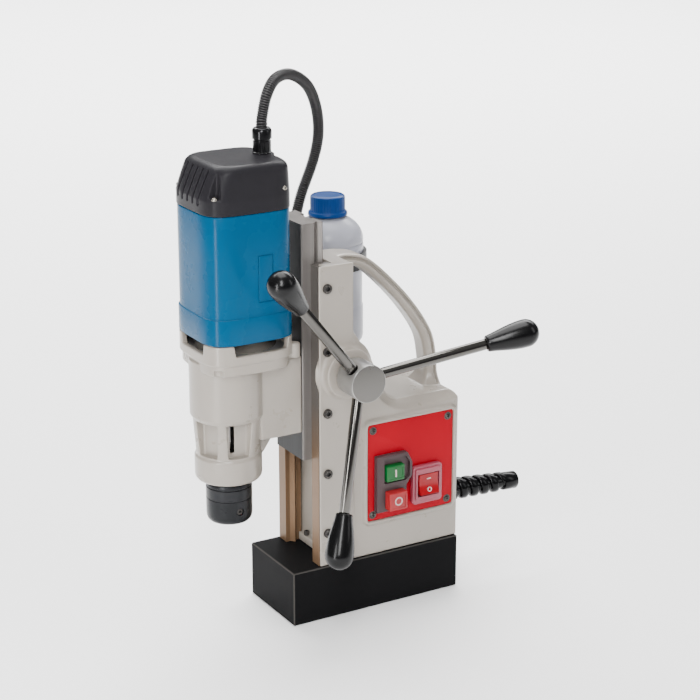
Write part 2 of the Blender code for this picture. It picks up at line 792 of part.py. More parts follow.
def gib_screw_heights():
    return [MAGNET_HEIGHT + GIB_SCREW_FIRST + i * GIB_SCREW_PITCH for i in range(GIB_SCREW_COUNT)]


def board_holes():
    across = BOARD_LENGTH / 2 - 0.006
    up = BOARD_HEIGHT / 2 - 0.006
    return [(PANEL_X + sx * across, PANEL_Z - 0.004 + sz * up) for sx in (-1, 1) for sz in (-1, 1)]


def gibs():
    """Bronze strips that line the channel, each with a tongue in the slide's groove and a lip."""
    inner = SLIDE_HALF_WIDTH + RUNNING_GAP
    outer = inner + GIB_THICKNESS
    lip = inner + GIB_LIP_WIDTH
    tongue = GROOVE_DEPTH - RUNNING_GAP
    half_tongue = GROOVE_OPENING / 2 - RUNNING_GAP
    for name, side in (("gib_near", -1), ("gib_far", 1)):
        outline = [
            (COLUMN_FRONT, side * inner),
            (GROOVE_X - half_tongue, side * inner),
            (GROOVE_X, side * (inner - tongue)),
            (GROOVE_X + half_tongue, side * inner),
            (GIB_REAR, side * inner),
            (GIB_REAR, side * outer),
            (COLUMN_FRONT + GIB_LIP, side * outer),
            (COLUMN_FRONT + GIB_LIP, side * lip),
            (COLUMN_FRONT, side * lip),
        ]
        extruded(name, [outline], "XY", MAGNET_HEIGHT + GAP, COLUMN_TOP - 0.001, BRASS)


def gib_screws():
    seat = -STAND_SIDE - GAP
    for number, height in enumerate(gib_screw_heights()):
        start = (GROOVE_X, seat, height)
        head = turned(
            f"gib_screw_{number + 1}",
            [
                (0, GIB_SCREW_STAND_OUT),
                (GIB_SCREW_RADIUS - 0.0008, GIB_SCREW_STAND_OUT),
                (GIB_SCREW_RADIUS, GIB_SCREW_STAND_OUT - 0.0008),
                (GIB_SCREW_RADIUS, 0),
                (0.0025, 0),
                (0.0025, -0.0070),
                (0, -0.0070),
            ],
            start,
            BLACK,
            (0, -1, 0),
            12,
        )
        socket = rod(
            f"gib_socket_{number + 1}",
            0.0021,
            (GROOVE_X, seat - 0.0012, height),
            (GROOVE_X, seat - GIB_SCREW_STAND_OUT - OVERLAP, height),
            sides=6,
        )
        cut(head, socket)


def slide():
    half = SLIDE_HALF_WIDTH
    groove = GROOVE_OPENING / 2
    pocket = RACK_HALF_WIDTH + GAP
    depth = SLIDE_REAR - RACK_BACKING - GAP
    side = [
        (SLIDE_FRONT, half - 0.001),
        (SLIDE_FRONT + 0.001, half),
        (GROOVE_X - groove, half),
        (GROOVE_X, half - GROOVE_DEPTH),
        (GROOVE_X + groove, half),
        (SLIDE_REAR, half),
        (SLIDE_REAR, pocket),
        (depth, pocket),
    ]
    outline = side + [(x, -y) for x, y in reversed(side)]
    extruded("slide", [outline], "XY", SLIDE_BOTTOM, SLIDE_BOTTOM + SLIDE_LENGTH, STEEL)


def rack():
    """A toothed bar let into the slide's rear, with a tooth space facing the feed shaft."""
    pitch = math.pi * RACK_MODULE
    tip = RACK_PITCH_X + ADDENDUM * RACK_MODULE
    root = RACK_PITCH_X - DEDENDUM * RACK_MODULE
    slope = math.tan(PRESSURE_ANGLE)
    half = pitch / 4 - BACKLASH / 4
    at_tip = half - ADDENDUM * RACK_MODULE * slope
    at_root = half + DEDENDUM * RACK_MODULE * slope
    bottom = SLIDE_BOTTOM + 0.003
    top = SLIDE_BOTTOM + SLIDE_LENGTH - 0.003
    back = SLIDE_REAR - RACK_BACKING
    below = math.floor((FEED_Z - pitch / 2 - bottom - at_root) / pitch)
    above = math.floor((top - FEED_Z - pitch / 2 - at_root) / pitch)
    points = [(back, bottom), (root, bottom)]
    for tooth in range(-below, above + 2):
        middle = FEED_Z - pitch / 2 + tooth * pitch
        points += [
            (root, middle - at_root),
            (tip, middle - at_tip),
            (tip, middle + at_tip),
            (root, middle + at_root),
        ]
    points += [(root, top), (back, top)]
    extruded("feed_rack", [points], "XZ", -RACK_HALF_WIDTH, RACK_HALF_WIDTH, STEEL)


def feed_shaft():
    near_bush_start = -STAND_SIDE - BOSS_HEIGHT
    pocket = RACK_HALF_WIDTH + 0.002
    for name, low, high in (
        ("bush_near", near_bush_start, -pocket),
        ("bush_far", pocket, STAND_SIDE - 0.0055),
    ):
        ring(
            name,
            FEED_SHAFT_RADIUS + RUNNING_GAP,
            BUSH_RADIUS,
            low,
            high,
            (FEED_X, 0, FEED_Z),
            BRASS,
            (0, 1, 0),
            24,
        )
    hub_rear = near_bush_start - 0.001
    hub_front = hub_rear - HUB_LENGTH
    shaft = rod(
        "pinion_shaft",
        FEED_SHAFT_RADIUS,
        (FEED_X, hub_front + HUB_FACE + GAP, FEED_Z),
        (FEED_X, STAND_SIDE - 0.008, FEED_Z),
        STEEL,
        24,
    )
    outline = gear_outline(PINION_TEETH, RACK_MODULE, FEED_X, FEED_Z, math.pi)
    join(shaft, extruded("pinion_teeth", [outline], "XZ", -RACK_HALF_WIDTH, RACK_HALF_WIDTH))
    hub = turned(
        "feed_hub",
        [
            (0, HUB_LENGTH),
            (HUB_RADIUS - 0.0030, HUB_LENGTH),
            (HUB_RADIUS - 0.0008, HUB_LENGTH - 0.0015),
            (HUB_RADIUS, HUB_LENGTH - 0.0040),
            (HUB_RADIUS, 0.0030),
            (HUB_RADIUS - 0.0015, 0),
            (0, 0),
        ],
        (FEED_X, hub_rear, FEED_Z),
        ALUMINIUM,
        (0, -1, 0),
        32,
    )
    bore = rod(
        "hub_bore",
        FEED_SHAFT_RADIUS + GAP,
        (FEED_X, hub_rear + OVERLAP, FEED_Z),
        (FEED_X, hub_front + HUB_FACE, FEED_Z),
    )
    cut(hub, bore)
    centre = Vector((FEED_X, (hub_rear + hub_front) / 2, FEED_Z))
    level = math.cos(SPOKE_LEAN)
    for number, angle in enumerate(SPOKE_ANGLES):
        along = Vector(
            (level * math.cos(angle), -math.sin(SPOKE_LEAN), level * math.sin(angle))
        )
        start = centre + along * SPOKE_START
        hole = rod(
            f"spoke_hole_{number + 1}",
            SPOKE_RADIUS + GAP,
            start - along * GAP,
            start + along * HUB_RADIUS,
        )
        cut(hub, hole)
        spoke_end = SPOKE_START + SPOKE_LENGTH
        rod(f"feed_spoke_{number + 1}", SPOKE_RADIUS, start, centre + along * spoke_end, CHROME, 20)
        knob(number + 1, centre, along, spoke_end)


def knob(number, centre, along, spoke_end):
    """A tapered grip with a ball end and a blind hole for its spoke, in distances from the hub's centre."""
    profile = []
    arc_steps = 6
    for step in range(arc_steps + 1):
        angle = math.pi / 2 - math.radians(115) * step / arc_steps
        out, up = KNOB_BALL_RADIUS * math.cos(angle), KNOB_BALL_RADIUS * math.sin(angle)
        profile.append((out, KNOB_BALL_CENTRE + up))
    profile[0] = (0, profile[0][1])
    hole = SPOKE_RADIUS + GAP
    profile += [
        (KNOB_SMALL_RADIUS, KNOB_START + 0.0015),
        (KNOB_SMALL_RADIUS - 0.0008, KNOB_START),
        (hole, KNOB_START),
        (hole, spoke_end + GAP),
        (0, spoke_end + GAP),
    ]
    turned(f"spoke_knob_{number}", profile, centre, BLACK, tuple(along), 14)


def motor_outline(inset=0.0):
    """A square with softly bulged faces and round corners, about the motor's axis."""
    half = MOTOR_SIDE / 2 - inset
    outline = []
    for step in range(MOTOR_OUTLINE_STEPS):
        angle = FULL_TURN * (step + 0.5) / MOTOR_OUTLINE_STEPS
        across, up = math.cos(angle), math.sin(angle)
        bulge = abs(across) ** MOTOR_SQUARENESS + abs(up) ** MOTOR_SQUARENESS
        reach = half / bulge ** (1 / MOTOR_SQUARENESS)
        outline.append((MOTOR_X + reach * across, reach * up))
    return outline


def gearbox():
    base = (SPINDLE_X, 0, 0)
    housing = turned(
        "gearbox_housing",
        [
            (BARREL_RADIUS, FLANGE_BOTTOM + 0.004),
            (BARREL_RADIUS, CONE_TOP + 0.001),
            (CONE_RADIUS, CONE_TOP),
            (NOSE_RADIUS - 0.001, NOSE_TOP),
            (NOSE_RADIUS, NOSE_TOP - 0.001),
            (NOSE_RADIUS, NOSE_BOTTOM + 0.004),
            (NOSE_RADIUS - 0.003, NOSE_BOTTOM),
            (ARBOR_NECK_RADIUS + 0.001, NOSE_BOTTOM),
            (ARBOR_NECK_RADIUS + 0.001, NOSE_BOTTOM + 0.003),
            (SPINDLE_BORE, NOSE_BOTTOM + 0.003),
            (SPINDLE_BORE, FLANGE_BOTTOM + 0.004),
        ],
        base,
        CAST,
        steps=40,
        ring=True,
    )
    flange = extruded("gearbox_flange", [motor_outline()], "XY", FLANGE_BOTTOM, FLANGE_TOP, CAST, 0.0012)
    bracket_rear = SLIDE_FRONT - GAP
    bracket = block(
        "slide_bracket",
        (SPINDLE_X + 0.024, -BRACKET_HALF_WIDTH, BRACKET_BOTTOM),
        (bracket_rear, BRACKET_HALF_WIDTH, FLANGE_BOTTOM + 0.002),
        CAST,
    )
    gusset = extruded(
        "bracket_gusset",
        [
            [
                (SPINDLE_X + 0.024, BRACKET_BOTTOM + 0.004),
                (SPINDLE_X + 0.024, NOSE_TOP - 0.004),
                (SPINDLE_X + 0.0295, NOSE_TOP - 0.001),
                (SPINDLE_X + 0.040, BRACKET_BOTTOM + 0.001),
                (SPINDLE_X + 0.040, BRACKET_BOTTOM + 0.004),
            ]
        ],
        "XZ",
        -0.006,
        0.006,
        CAST,
    )
    lug = rod(
        "flange_lug",
        0.005,
        (MOTOR_X + MOTOR_SIDE / 2 - 0.001, -BRACKET_HALF_WIDTH - 0.006, FLANGE_BOTTOM + 0.006),
        (MOTOR_X + MOTOR_SIDE / 2 - 0.001, -BRACKET_HALF_WIDTH - 0.006, FLANGE_BOTTOM + 0.017),
        CAST,
        16,
    )
    join(housing, flange, bracket, gusset, lug)

    window_ring = ring(
        "window_ring",
        SLEEVE_RADIUS,
        CONE_RADIUS + 0.004,
        NOSE_TOP + 0.003,
        CONE_TOP - 0.003,
        base,
        steps=48,
    )
    for number in range(WINDOW_COUNT):
        angle = math.radians(-126) + number * FULL_TURN / WINDOW_COUNT
        far = polar(SPINDLE_X, 0, CONE_RADIUS + 0.010, angle)
        rib = block(
            f"window_rib_{number + 1}",
            (-(CONE_RADIUS + 0.010) / 2, -WINDOW_RIB / 2, NOSE_TOP),
            ((CONE_RADIUS + 0.010) / 2, WINDOW_RIB / 2, CONE_TOP),
        )
        rib.location = ((SPINDLE_X + far[0]) / 2, far[1] / 2, (NOSE_TOP + CONE_TOP) / 2)
        rib.rotation_euler = (0, 0, angle)
        cut(window_ring, rib)
    shield = block(
        "bracket_shield",
        (SPINDLE_X + 0.022, -BRACKET_HALF_WIDTH + 0.002, BRACKET_BOTTOM - 0.004),
        (SPINDLE_X + 0.060, BRACKET_HALF_WIDTH - 0.002, CONE_TOP + 0.010),
    )
    cut(window_ring, shield)
    cut(housing, window_ring)

    gear_floor = SECOND_GEAR_BOTTOM - 0.0015
    spindle_gear_room = SECOND_MODULE * (SECOND_GEAR_TEETH / 2 + ADDENDUM) + 0.0015
    lay_pinion_room = SECOND_MODULE * (SECOND_PINION_TEETH / 2 + ADDENDUM) + 0.0008
    lay_gear_room = FIRST_MODULE * (FIRST_GEAR_TEETH / 2 + ADDENDUM) + 0.0012
    layshaft = (LAYSHAFT_X, LAYSHAFT_Y)
    rooms = (
        ("spindle_gear_room", spindle_gear_room, (SPINDLE_X, 0), gear_floor, PLATE_BOTTOM),
        ("lay_pinion_room", lay_pinion_room, layshaft, gear_floor, PLATE_BOTTOM),
        ("lay_gear_room", lay_gear_room, layshaft, FIRST_GEAR_BOTTOM - 0.001, PLATE_BOTTOM),
        ("motor_pinion_room", 0.0075, (MOTOR_X, 0), FIRST_GEAR_BOTTOM - 0.001, PLATE_BOTTOM),
        ("layshaft_hole", LAYSHAFT_RADIUS + RUNNING_GAP, layshaft, gear_floor - 0.007, PLATE_BOTTOM),
    )
    for name, radius, (x, y), low, high in rooms:
        cut(housing, rod(name, radius, (x, y, low), (x, y, high + OVERLAP), sides=28))
    wall = 0.005
    fan_room = extruded(
        "fan_room",
        [motor_outline(wall)],
        "XY",
        PLATE_BOTTOM - GAP,
        FLANGE_TOP + OVERLAP,
    )
    cut(housing, fan_room)
    slot_low = FLANGE_TOP - FLANGE_WINDOW
    half = MOTOR_SIDE / 2
    post = 0.021
    slot_front = block(
        "exhaust_slot_x",
        (MOTOR_X - half - OVERLAP, -half + post, slot_low),
        (MOTOR_X + half + OVERLAP, half - post, FLANGE_TOP + OVERLAP),
    )
    slot_side = block(
        "exhaust_slot_y",
        (MOTOR_X - half + post, -half - OVERLAP, slot_low),
        (MOTOR_X + half - post + 0.010, half + OVERLAP, FLANGE_TOP + OVERLAP),
    )
    cut(housing, slot_front, slot_side)
    smooth(housing)

    plate = extruded(
        "bearing_plate",
        [motor_outline(wall + GAP)],
        "XY",
        PLATE_BOTTOM,
        PLATE_BOTTOM + PLATE_THICKNESS,
        ALUMINIUM,
    )
    bearing_hole = rod(
        "rotor_bearing_hole",
        0.0095 + GAP,
        (MOTOR_X, 0, PLATE_BOTTOM - OVERLAP),
        (MOTOR_X, 0, PLATE_BOTTOM + PLATE_THICKNESS + OVERLAP),
    )
    lay_hole = rod(
        "layshaft_top_hole",
        LAYSHAFT_RADIUS + RUNNING_GAP,
        (LAYSHAFT_X, LAYSHAFT_Y, PLATE_BOTTOM - OVERLAP),
        (LAYSHAFT_X, LAYSHAFT_Y, PLATE_BOTTOM + PLATE_THICKNESS + OVERLAP),
        sides=16,
    )
    cut(plate, bearing_hole, lay_hole)
    ring(
        "rotor_bearing_lower",
        MOTOR_SHAFT_RADIUS + RUNNING_GAP,
        0.0095,
        PLATE_BOTTOM,
        PLATE_BOTTOM + PLATE_THICKNESS,
        (MOTOR_X, 0, 0),
        STEEL,
    )
    lower = NOSE_BOTTOM + 0.003 + GAP
    upper = gear_floor - 0.0015 - BEARING_HEIGHT
    for name, inner, low in (
        ("spindle_bearing_lower", ARBOR_NECK_RADIUS, lower),
        ("spindle_bearing_upper", SPINDLE_RADIUS, upper),
    ):
        ring(name, inner + RUNNING_GAP, SPINDLE_BORE - GAP, low, low + BEARING_HEIGHT, base, STEEL)


def spindle():
    neck_top = NOSE_BOTTOM + 0.003 + GAP + BEARING_HEIGHT + 0.003
    top = ARBOR_BOTTOM + ARBOR_LENGTH
    tail = 0.0062
    bore_end = ARBOR_BOTTOM + ARBOR_BORE_DEPTH
    arbor = turned(
        "arbor_holder",
        [
            (ARBOR_NECK_RADIUS, neck_top),
            (ARBOR_NECK_RADIUS, top),
            (ARBOR_RADIUS, top),
            (ARBOR_RADIUS, ARBOR_BOTTOM + 0.009),
            (ARBOR_RADIUS - 0.0012, ARBOR_BOTTOM + 0.0045),
            (ARBOR_RADIUS - 0.0040, ARBOR_BOTTOM + 0.0012),
            (ARBOR_RADIUS - 0.0080, ARBOR_BOTTOM),
            (ARBOR_BORE, ARBOR_BOTTOM),
            (ARBOR_BORE, bore_end),
            (tail + GAP, bore_end),
            (tail + GAP, neck_top),
        ],
        (SPINDLE_X, 0, 0),
        BLACK,
        steps=28,
        ring=True,
    )
    for number, angle in enumerate(ARBOR_SCREW_ANGLES):
        outward = Vector((math.cos(angle), math.sin(angle), 0))
        centre = Vector((SPINDLE_X, 0, ARBOR_SCREW_Z))
        hole = rod(
            f"arbor_screw_hole_{number + 1}",
            0.0036,
            centre + outward * (ARBOR_BORE - OVERLAP),
            centre + outward * (ARBOR_RADIUS + OVERLAP),
            sides=16,
        )
        cut(arbor, hole)
        screw = rod(
            f"arbor_screw_{number + 1}",
            0.0036 - GAP,
            centre + outward * (ARBOR_BORE + 0.001),
            centre + outward * (ARBOR_RADIUS - 0.0010),
            STEEL,
            16,
        )
        socket = rod(
            f"arbor_screw_socket_{number + 1}",
            0.0018,
            centre + outward * (ARBOR_RADIUS - 0.0040),
            centre + outward * (ARBOR_RADIUS + OVERLAP),
            sides=6,
        )
        cut(screw, socket)
    shaft = turned(
        "spindle",
        [
            (0, SECOND_GEAR_TOP + 0.0005),
            (SPINDLE_TOP_RADIUS, SECOND_GEAR_TOP + 0.0005),
            (SPINDLE_TOP_RADIUS, SECOND_GEAR_BOTTOM - GAP),
            (SPINDLE_RADIUS, SECOND_GEAR_BOTTOM - GAP),
            (SPINDLE_RADIUS, neck_top + GAP),
            (tail, neck_top + GAP),
            (tail, bore_end + 0.001),
            (0, bore_end + 0.001),
        ],
        (SPINDLE_X, 0, 0),
        STEEL,
        steps=24,
    )
    smooth(shaft)
    to_spindle = math.atan2(-LAYSHAFT_Y, SPINDLE_X - LAYSHAFT_X)
    tooth = to_spindle + math.pi + math.pi / SECOND_GEAR_TEETH
    bore = [polar(SPINDLE_X, 0, SPINDLE_TOP_RADIUS + GAP, i * FULL_TURN / 24) for i in range(24)]
    outline = gear_outline(SECOND_GEAR_TEETH, SECOND_MODULE, SPINDLE_X, 0, tooth)
    extruded("spindle_gear", [outline, bore], "XY", SECOND_GEAR_BOTTOM, SECOND_GEAR_TOP)


def layshaft():
    to_motor = math.atan2(-LAYSHAFT_Y, MOTOR_X - LAYSHAFT_X)
    to_spindle = math.atan2(-LAYSHAFT_Y, SPINDLE_X - LAYSHAFT_X)
    shaft = rod(
        "layshaft",
        LAYSHAFT_RADIUS,
        (LAYSHAFT_X, LAYSHAFT_Y, SECOND_GEAR_BOTTOM - 0.008),
        (LAYSHAFT_X, LAYSHAFT_Y, PLATE_BOTTOM + PLATE_THICKNESS - 0.0005),
        STEEL,
        16,
    )
    pinion = gear_outline(SECOND_PINION_TEETH, SECOND_MODULE, LAYSHAFT_X, LAYSHAFT_Y, to_spindle)
    join(shaft, extruded("lay_pinion_teeth", [pinion], "XY", SECOND_GEAR_BOTTOM, SECOND_GEAR_TOP + 0.0002))
    tooth = to_motor + math.pi / FIRST_GEAR_TEETH
    bore = [
        polar(LAYSHAFT_X, LAYSHAFT_Y, LAYSHAFT_RADIUS + GAP, i * FULL_TURN / 16) for i in range(16)
    ]
    outline = gear_outline(FIRST_GEAR_TEETH, FIRST_MODULE, LAYSHAFT_X, LAYSHAFT_Y, tooth)
    extruded("layshaft_gear", [outline, bore], "XY", FIRST_GEAR_BOTTOM, FIRST_GEAR_TOP)


def armature():
    axis = (MOTOR_X, 0, 0)
    core_low = MOTOR_BOTTOM + 0.022
    core_high = core_low + STATOR_HEIGHT
    comm_low = core_high + 0.009
    to_layshaft = math.atan2(LAYSHAFT_Y, LAYSHAFT_X - MOTOR_X)
    shaft = rod(
        "armature_shaft",
        MOTOR_SHAFT_RADIUS,
        (MOTOR_X, 0, FIRST_GEAR_TOP - 0.0005),
        (MOTOR_X, 0, CAP_BOTTOM + 0.016),
        STEEL,
        20,
    )
    outline = gear_outline(FIRST_PINION_TEETH, FIRST_MODULE, MOTOR_X, 0, to_layshaft)
    join(shaft, extruded("motor_pinion_teeth", [outline], "XY", FIRST_GEAR_BOTTOM, FIRST_GEAR_TOP + 0.0002))
    bore = MOTOR_SHAFT_RADIUS + GAP
    ring("armature_core", bore, ARMATURE_RADIUS, core_low, core_high, axis, COPPER)
    comm_high = comm_low + COMMUTATOR_HEIGHT
    ring("commutator", bore, COMMUTATOR_RADIUS, comm_low, comm_high, axis, COPPER, steps=24)
    fan_low = PLATE_BOTTOM + PLATE_THICKNESS + 0.0015
    fan = ring("cooling_fan", bore, 0.010, fan_low, fan_low + FAN_HEIGHT, axis, BLACK, steps=24)
    disc = ring("fan_disc", 0.009, FAN_RADIUS, fan_low, fan_low + 0.0015, axis, BLACK, steps=24)
    join(fan, disc)
    for number in range(FAN_BLADES):
        angle = number * FULL_TURN / FAN_BLADES
        blade = block(
            f"fan_blade_{number + 1}",
            (-0.0095, -0.0008, fan_low + 0.0005),
            (0.0095, 0.0008, fan_low + FAN_HEIGHT - 0.0005),
        )
        x, y = polar(MOTOR_X, 0, 0.0185, angle)
        blade.location = (x, y, blade.location.z)
        blade.rotation_euler = (0, 0, angle + 0.25)
        join(fan, blade)
    stator_gap = GAP + BAND_STEP
    stator = ring("stator", STATOR_BORE, STATOR_RADIUS, core_low, core_high, axis, COPPER)
    flats_outline = motor_outline(MOTOR_WALL + stator_gap)
    flats = extruded("stator_flats", [flats_outline], "XY", core_low - OVERLAP, core_high + OVERLAP)
    boolean(stator, flats, "INTERSECT")
    brush_ring = ring(
        "brush_ring",
        COMMUTATOR_RADIUS + 0.006,
        MOTOR_SIDE / 2 - MOTOR_WALL - stator_gap,
        comm_low + 0.001,
        comm_low + 0.004,
        axis,
        BLACK,
    )
    for number, side in enumerate((-1, 1)):
        holder = block(
            f"brush_holder_{number + 1}",
            (MOTOR_X - 0.005, min(side * (COMMUTATOR_RADIUS + 0.0006), side * 0.030), comm_low + 0.002),
            (MOTOR_X + 0.005, max(side * (COMMUTATOR_RADIUS + 0.0006), side * 0.030), comm_low + 0.011),
        )
        join(brush_ring, holder)
    ring(
        "rotor_bearing_upper",
        MOTOR_SHAFT_RADIUS + RUNNING_GAP,
        0.0095,
        CAP_BOTTOM + 0.008,
        CAP_BOTTOM + 0.015,
        axis,
        STEEL,
    )


def motor_housing():
    housing = extruded("motor_housing", [motor_outline(BAND_STEP)], "XY", MOTOR_BOTTOM, MOTOR_TOP, BLUE)
    band = extruded("housing_band", [motor_outline()], "XY", MOTOR_BOTTOM, MOTOR_BOTTOM + BAND_HEIGHT, BLUE)
    join(housing, band)
    room = extruded(
        "motor_room",
        [motor_outline(BAND_STEP + MOTOR_WALL)],
        "XY",
        MOTOR_BOTTOM - OVERLAP,
        MOTOR_TOP + OVERLAP,
    )
    label_recess = block(
        "label_recess",
        (MOTOR_X + 0.002, -MOTOR_SIDE / 2 - OVERLAP, MOTOR_BOTTOM + 0.034),
        (MOTOR_X + 0.016, -MOTOR_SIDE / 2 + BAND_STEP + 0.0006, MOTOR_BOTTOM + 0.074),
    )
    cut(housing, room, label_recess)
    smooth(housing)


def end_cap():
    half = MOTOR_SIDE / 2 - BAND_STEP
    low, high = MOTOR_X - half, MOTOR_X + half
    cap = extruded("end_cap", [motor_outline(BAND_STEP)], "XY", CAP_BOTTOM, CAP_TOP, BLACK)
    shoulder = CAP_BOTTOM + CAP_HEIGHT * 0.36
    side_view = rounded(
        [
            (low - OVERLAP, CAP_BOTTOM - OVERLAP, 0),
            (high + OVERLAP, CAP_BOTTOM - OVERLAP, 0),
            (high + OVERLAP, shoulder, 0),
            (high, shoulder, 0),
            (high - 0.001, CAP_TOP - 0.001, CAP_ROUND * 0.7),
            (low + CAP_SLOPE, CAP_TOP - 0.002, CAP_ROUND * 0.5),
            (low, shoulder, 0.004),
            (low - OVERLAP, shoulder, 0),
        ]
    )
    front_view = rounded(
        [
            (-half - OVERLAP, CAP_BOTTOM - OVERLAP, 0),
            (half + OVERLAP, CAP_BOTTOM - OVERLAP, 0),
            (half + OVERLAP, shoulder, 0),
            (half, shoulder, 0),
            (half - 0.0015, CAP_TOP + 0.0005, CAP_ROUND),
            (-half + 0.0015, CAP_TOP + 0.0005, CAP_ROUND),
            (-half, shoulder, 0),
            (-half - OVERLAP, shoulder, 0),
        ]
    )
    boolean(cap, extruded("cap_side_view", [side_view], "XZ", -half - OVERLAP, half + OVERLAP), "INTERSECT")
    boolean(cap, extruded("cap_front_view", [front_view], "YZ", low - OVERLAP, high + OVERLAP), "INTERSECT")
    room_top = CAP_TOP - 0.011
    room = extruded("cap_room", [motor_outline(0.0145)], "XY", CAP_BOTTOM - OVERLAP, room_top)
    cut(cap, room)
    hub = ring(
        "cap_bearing_seat",
        0.0095 + GAP,
        0.0125,
        CAP_BOTTOM + 0.007,
        room_top + OVERLAP,
        (MOTOR_X, 0, 0),
        BLACK,
        steps=24,
    )
    join(cap, hub)
    gland_hole = rod(
        "gland_hole",
        0.0060,
        (GLAND_X, GLAND_Y, CAP_BOTTOM + 0.012),
        (GLAND_X, GLAND_Y, CAP_TOP + OVERLAP),
        sides=20,
    )
    cut(cap, gland_hole)
    for number, (sx, sy) in enumerate(((-1, -1), (-1, 1), (1, -1), (1, 1))):
        x = MOTOR_X + sx * (half - CAP_CORNER_INSET)
        y = sy * (half - CAP_CORNER_INSET)
        seat = CAP_TOP - CAP_SCREW_DEPTH
        recess = rod(
            f"cap_recess_{number + 1}", CAP_RECESS_RADIUS, (x, y, seat), (x, y, CAP_TOP + OVERLAP), sides=16
        )
        cut(cap, recess)
    for number in range(4):
        y = -0.013 + number * 0.0085
        vent = block(
            f"cap_vent_{number + 1}",
            (low - OVERLAP, y - 0.0014, shoulder + 0.001),
            (low + 0.016, y + 0.0014, CAP_TOP - 0.012),
        )
        vent.rotation_euler = (math.radians(8), 0, 0)
        cut(cap, vent)
    smooth(cap)


def conduit():
    gland_base = CAP_TOP + GAP
    gland_top = gland_base + GLAND_HEIGHT
    turned(
        "conduit_gland",
        [
            (GLAND_RADIUS - 0.0012, gland_top),
            (GLAND_RADIUS, gland_top - 0.0015),
            (GLAND_RADIUS, gland_top - 0.0085),
            (GLAND_RADIUS - 0.0012, gland_top - 0.0095),
            (GLAND_RADIUS - 0.0002, gland_top - 0.0110),
            (GLAND_RADIUS - 0.0002, gland_base),
            (0.0056, gland_base),
            (0.0056, gland_base - 0.0080),
            (0.0040, gland_base - 0.0080),
            (0.0040, gland_top),
        ],
        (GLAND_X, GLAND_Y, 0),
        BLACK,
        steps=20,
        ring=True,
    )
    points = [Vector(point) for point in through(CONDUIT_ROUTE, CONDUIT_POINTS)]
    shift = gland_top + CONDUIT_BORE_GAP - CONDUIT_ROUTE[0][2]
    points[0].z += shift
    tube("wiring_conduit", points, CONDUIT_RADIUS, BLACK, 2)

    wall = STAND_SIDE + GAP
    centre_y = wall + ELBOW_OUT
    bend = ELBOW_OUT - 0.0005
    arc = []
    for step in range(7):
        angle = math.pi / 2 * step / 6
        out, up = bend * math.cos(angle), bend * math.sin(angle)
        arc.append((ELBOW_X, centre_y - bend + out, ELBOW_Z + bend - up))
    route = [(ELBOW_X, centre_y, ELBOW_TOP - GAP)] + arc + [(ELBOW_X, wall, ELBOW_Z)]
    elbow = as_mesh(tube("conduit_elbow", route, ELBOW_RADIUS, BLACK, 2))
    nut = rod("elbow_nut", 0.0095, (ELBOW_X, wall, ELBOW_Z), (ELBOW_X, wall + 0.004, ELBOW_Z), BLACK, 6)
    join(elbow, nut)


def panel():
    half_length, half_height = PANEL_LENGTH / 2, PANEL_HEIGHT / 2
    back = -STAND_SIDE - GAP
    plate = extruded(
        "panel_plate",
        [
            rectangle(
                PANEL_X - half_length,
                PANEL_Z - half_height,
                PANEL_X + half_length,
                PANEL_Z + half_height,
                0.002,
                2,
            )
        ],
        "XZ",
        PANEL_FRONT,
        back,
        RED,
    )
    low, high = switch_neck()
    switch_hole = block(
        "switch_hole",
        (low[0], PANEL_FRONT - OVERLAP, low[1]),
        (high[0], back + OVERLAP, high[1]),
    )
    half_rocker_x = ROCKER_WIDTH / 2 + ROCKER_ROOM + 0.0012
    half_rocker_z = ROCKER_HEIGHT / 2 + ROCKER_ROOM + 0.0012
    rocker_hole = block(
        "rocker_hole",
        (ROCKER_X - half_rocker_x - GAP, PANEL_FRONT - OVERLAP, ROCKER_Z - half_rocker_z - GAP),
        (ROCKER_X + half_rocker_x + GAP, back + OVERLAP, ROCKER_Z + half_rocker_z + GAP),
    )
    cut(plate, switch_hole, rocker_hole)
    for number, (x, z) in enumerate(panel_screw_places()):
        hole = rod(
            f"panel_screw_hole_{number + 1}",
            PANEL_SCREW_RADIUS,
            (x, PANEL_FRONT - OVERLAP, z),
            (x, back + OVERLAP, z),
            sides=12,
        )
        cut(plate, hole)


def panel_screw_places():
    across = PANEL_LENGTH / 2 - PANEL_SCREW_INSET
    up = PANEL_HEIGHT / 2 - PANEL_SCREW_INSET
    return [(PANEL_X + sx * across, PANEL_Z + sz * up) for sx in (-1, 1) for sz in (-1, 1)]


def switch_neck():
    """The corners of the hole through the plate for the push-button switch."""
    room = 0.0025
    low = (SWITCH_X - BUTTON_WIDTH / 2 - room, STOP_Z - STOP_HEIGHT / 2 - room + 0.0010)
    high = (SWITCH_X + BUTTON_WIDTH / 2 + room, START_Z + START_HEIGHT / 2 + room)
    return low, high


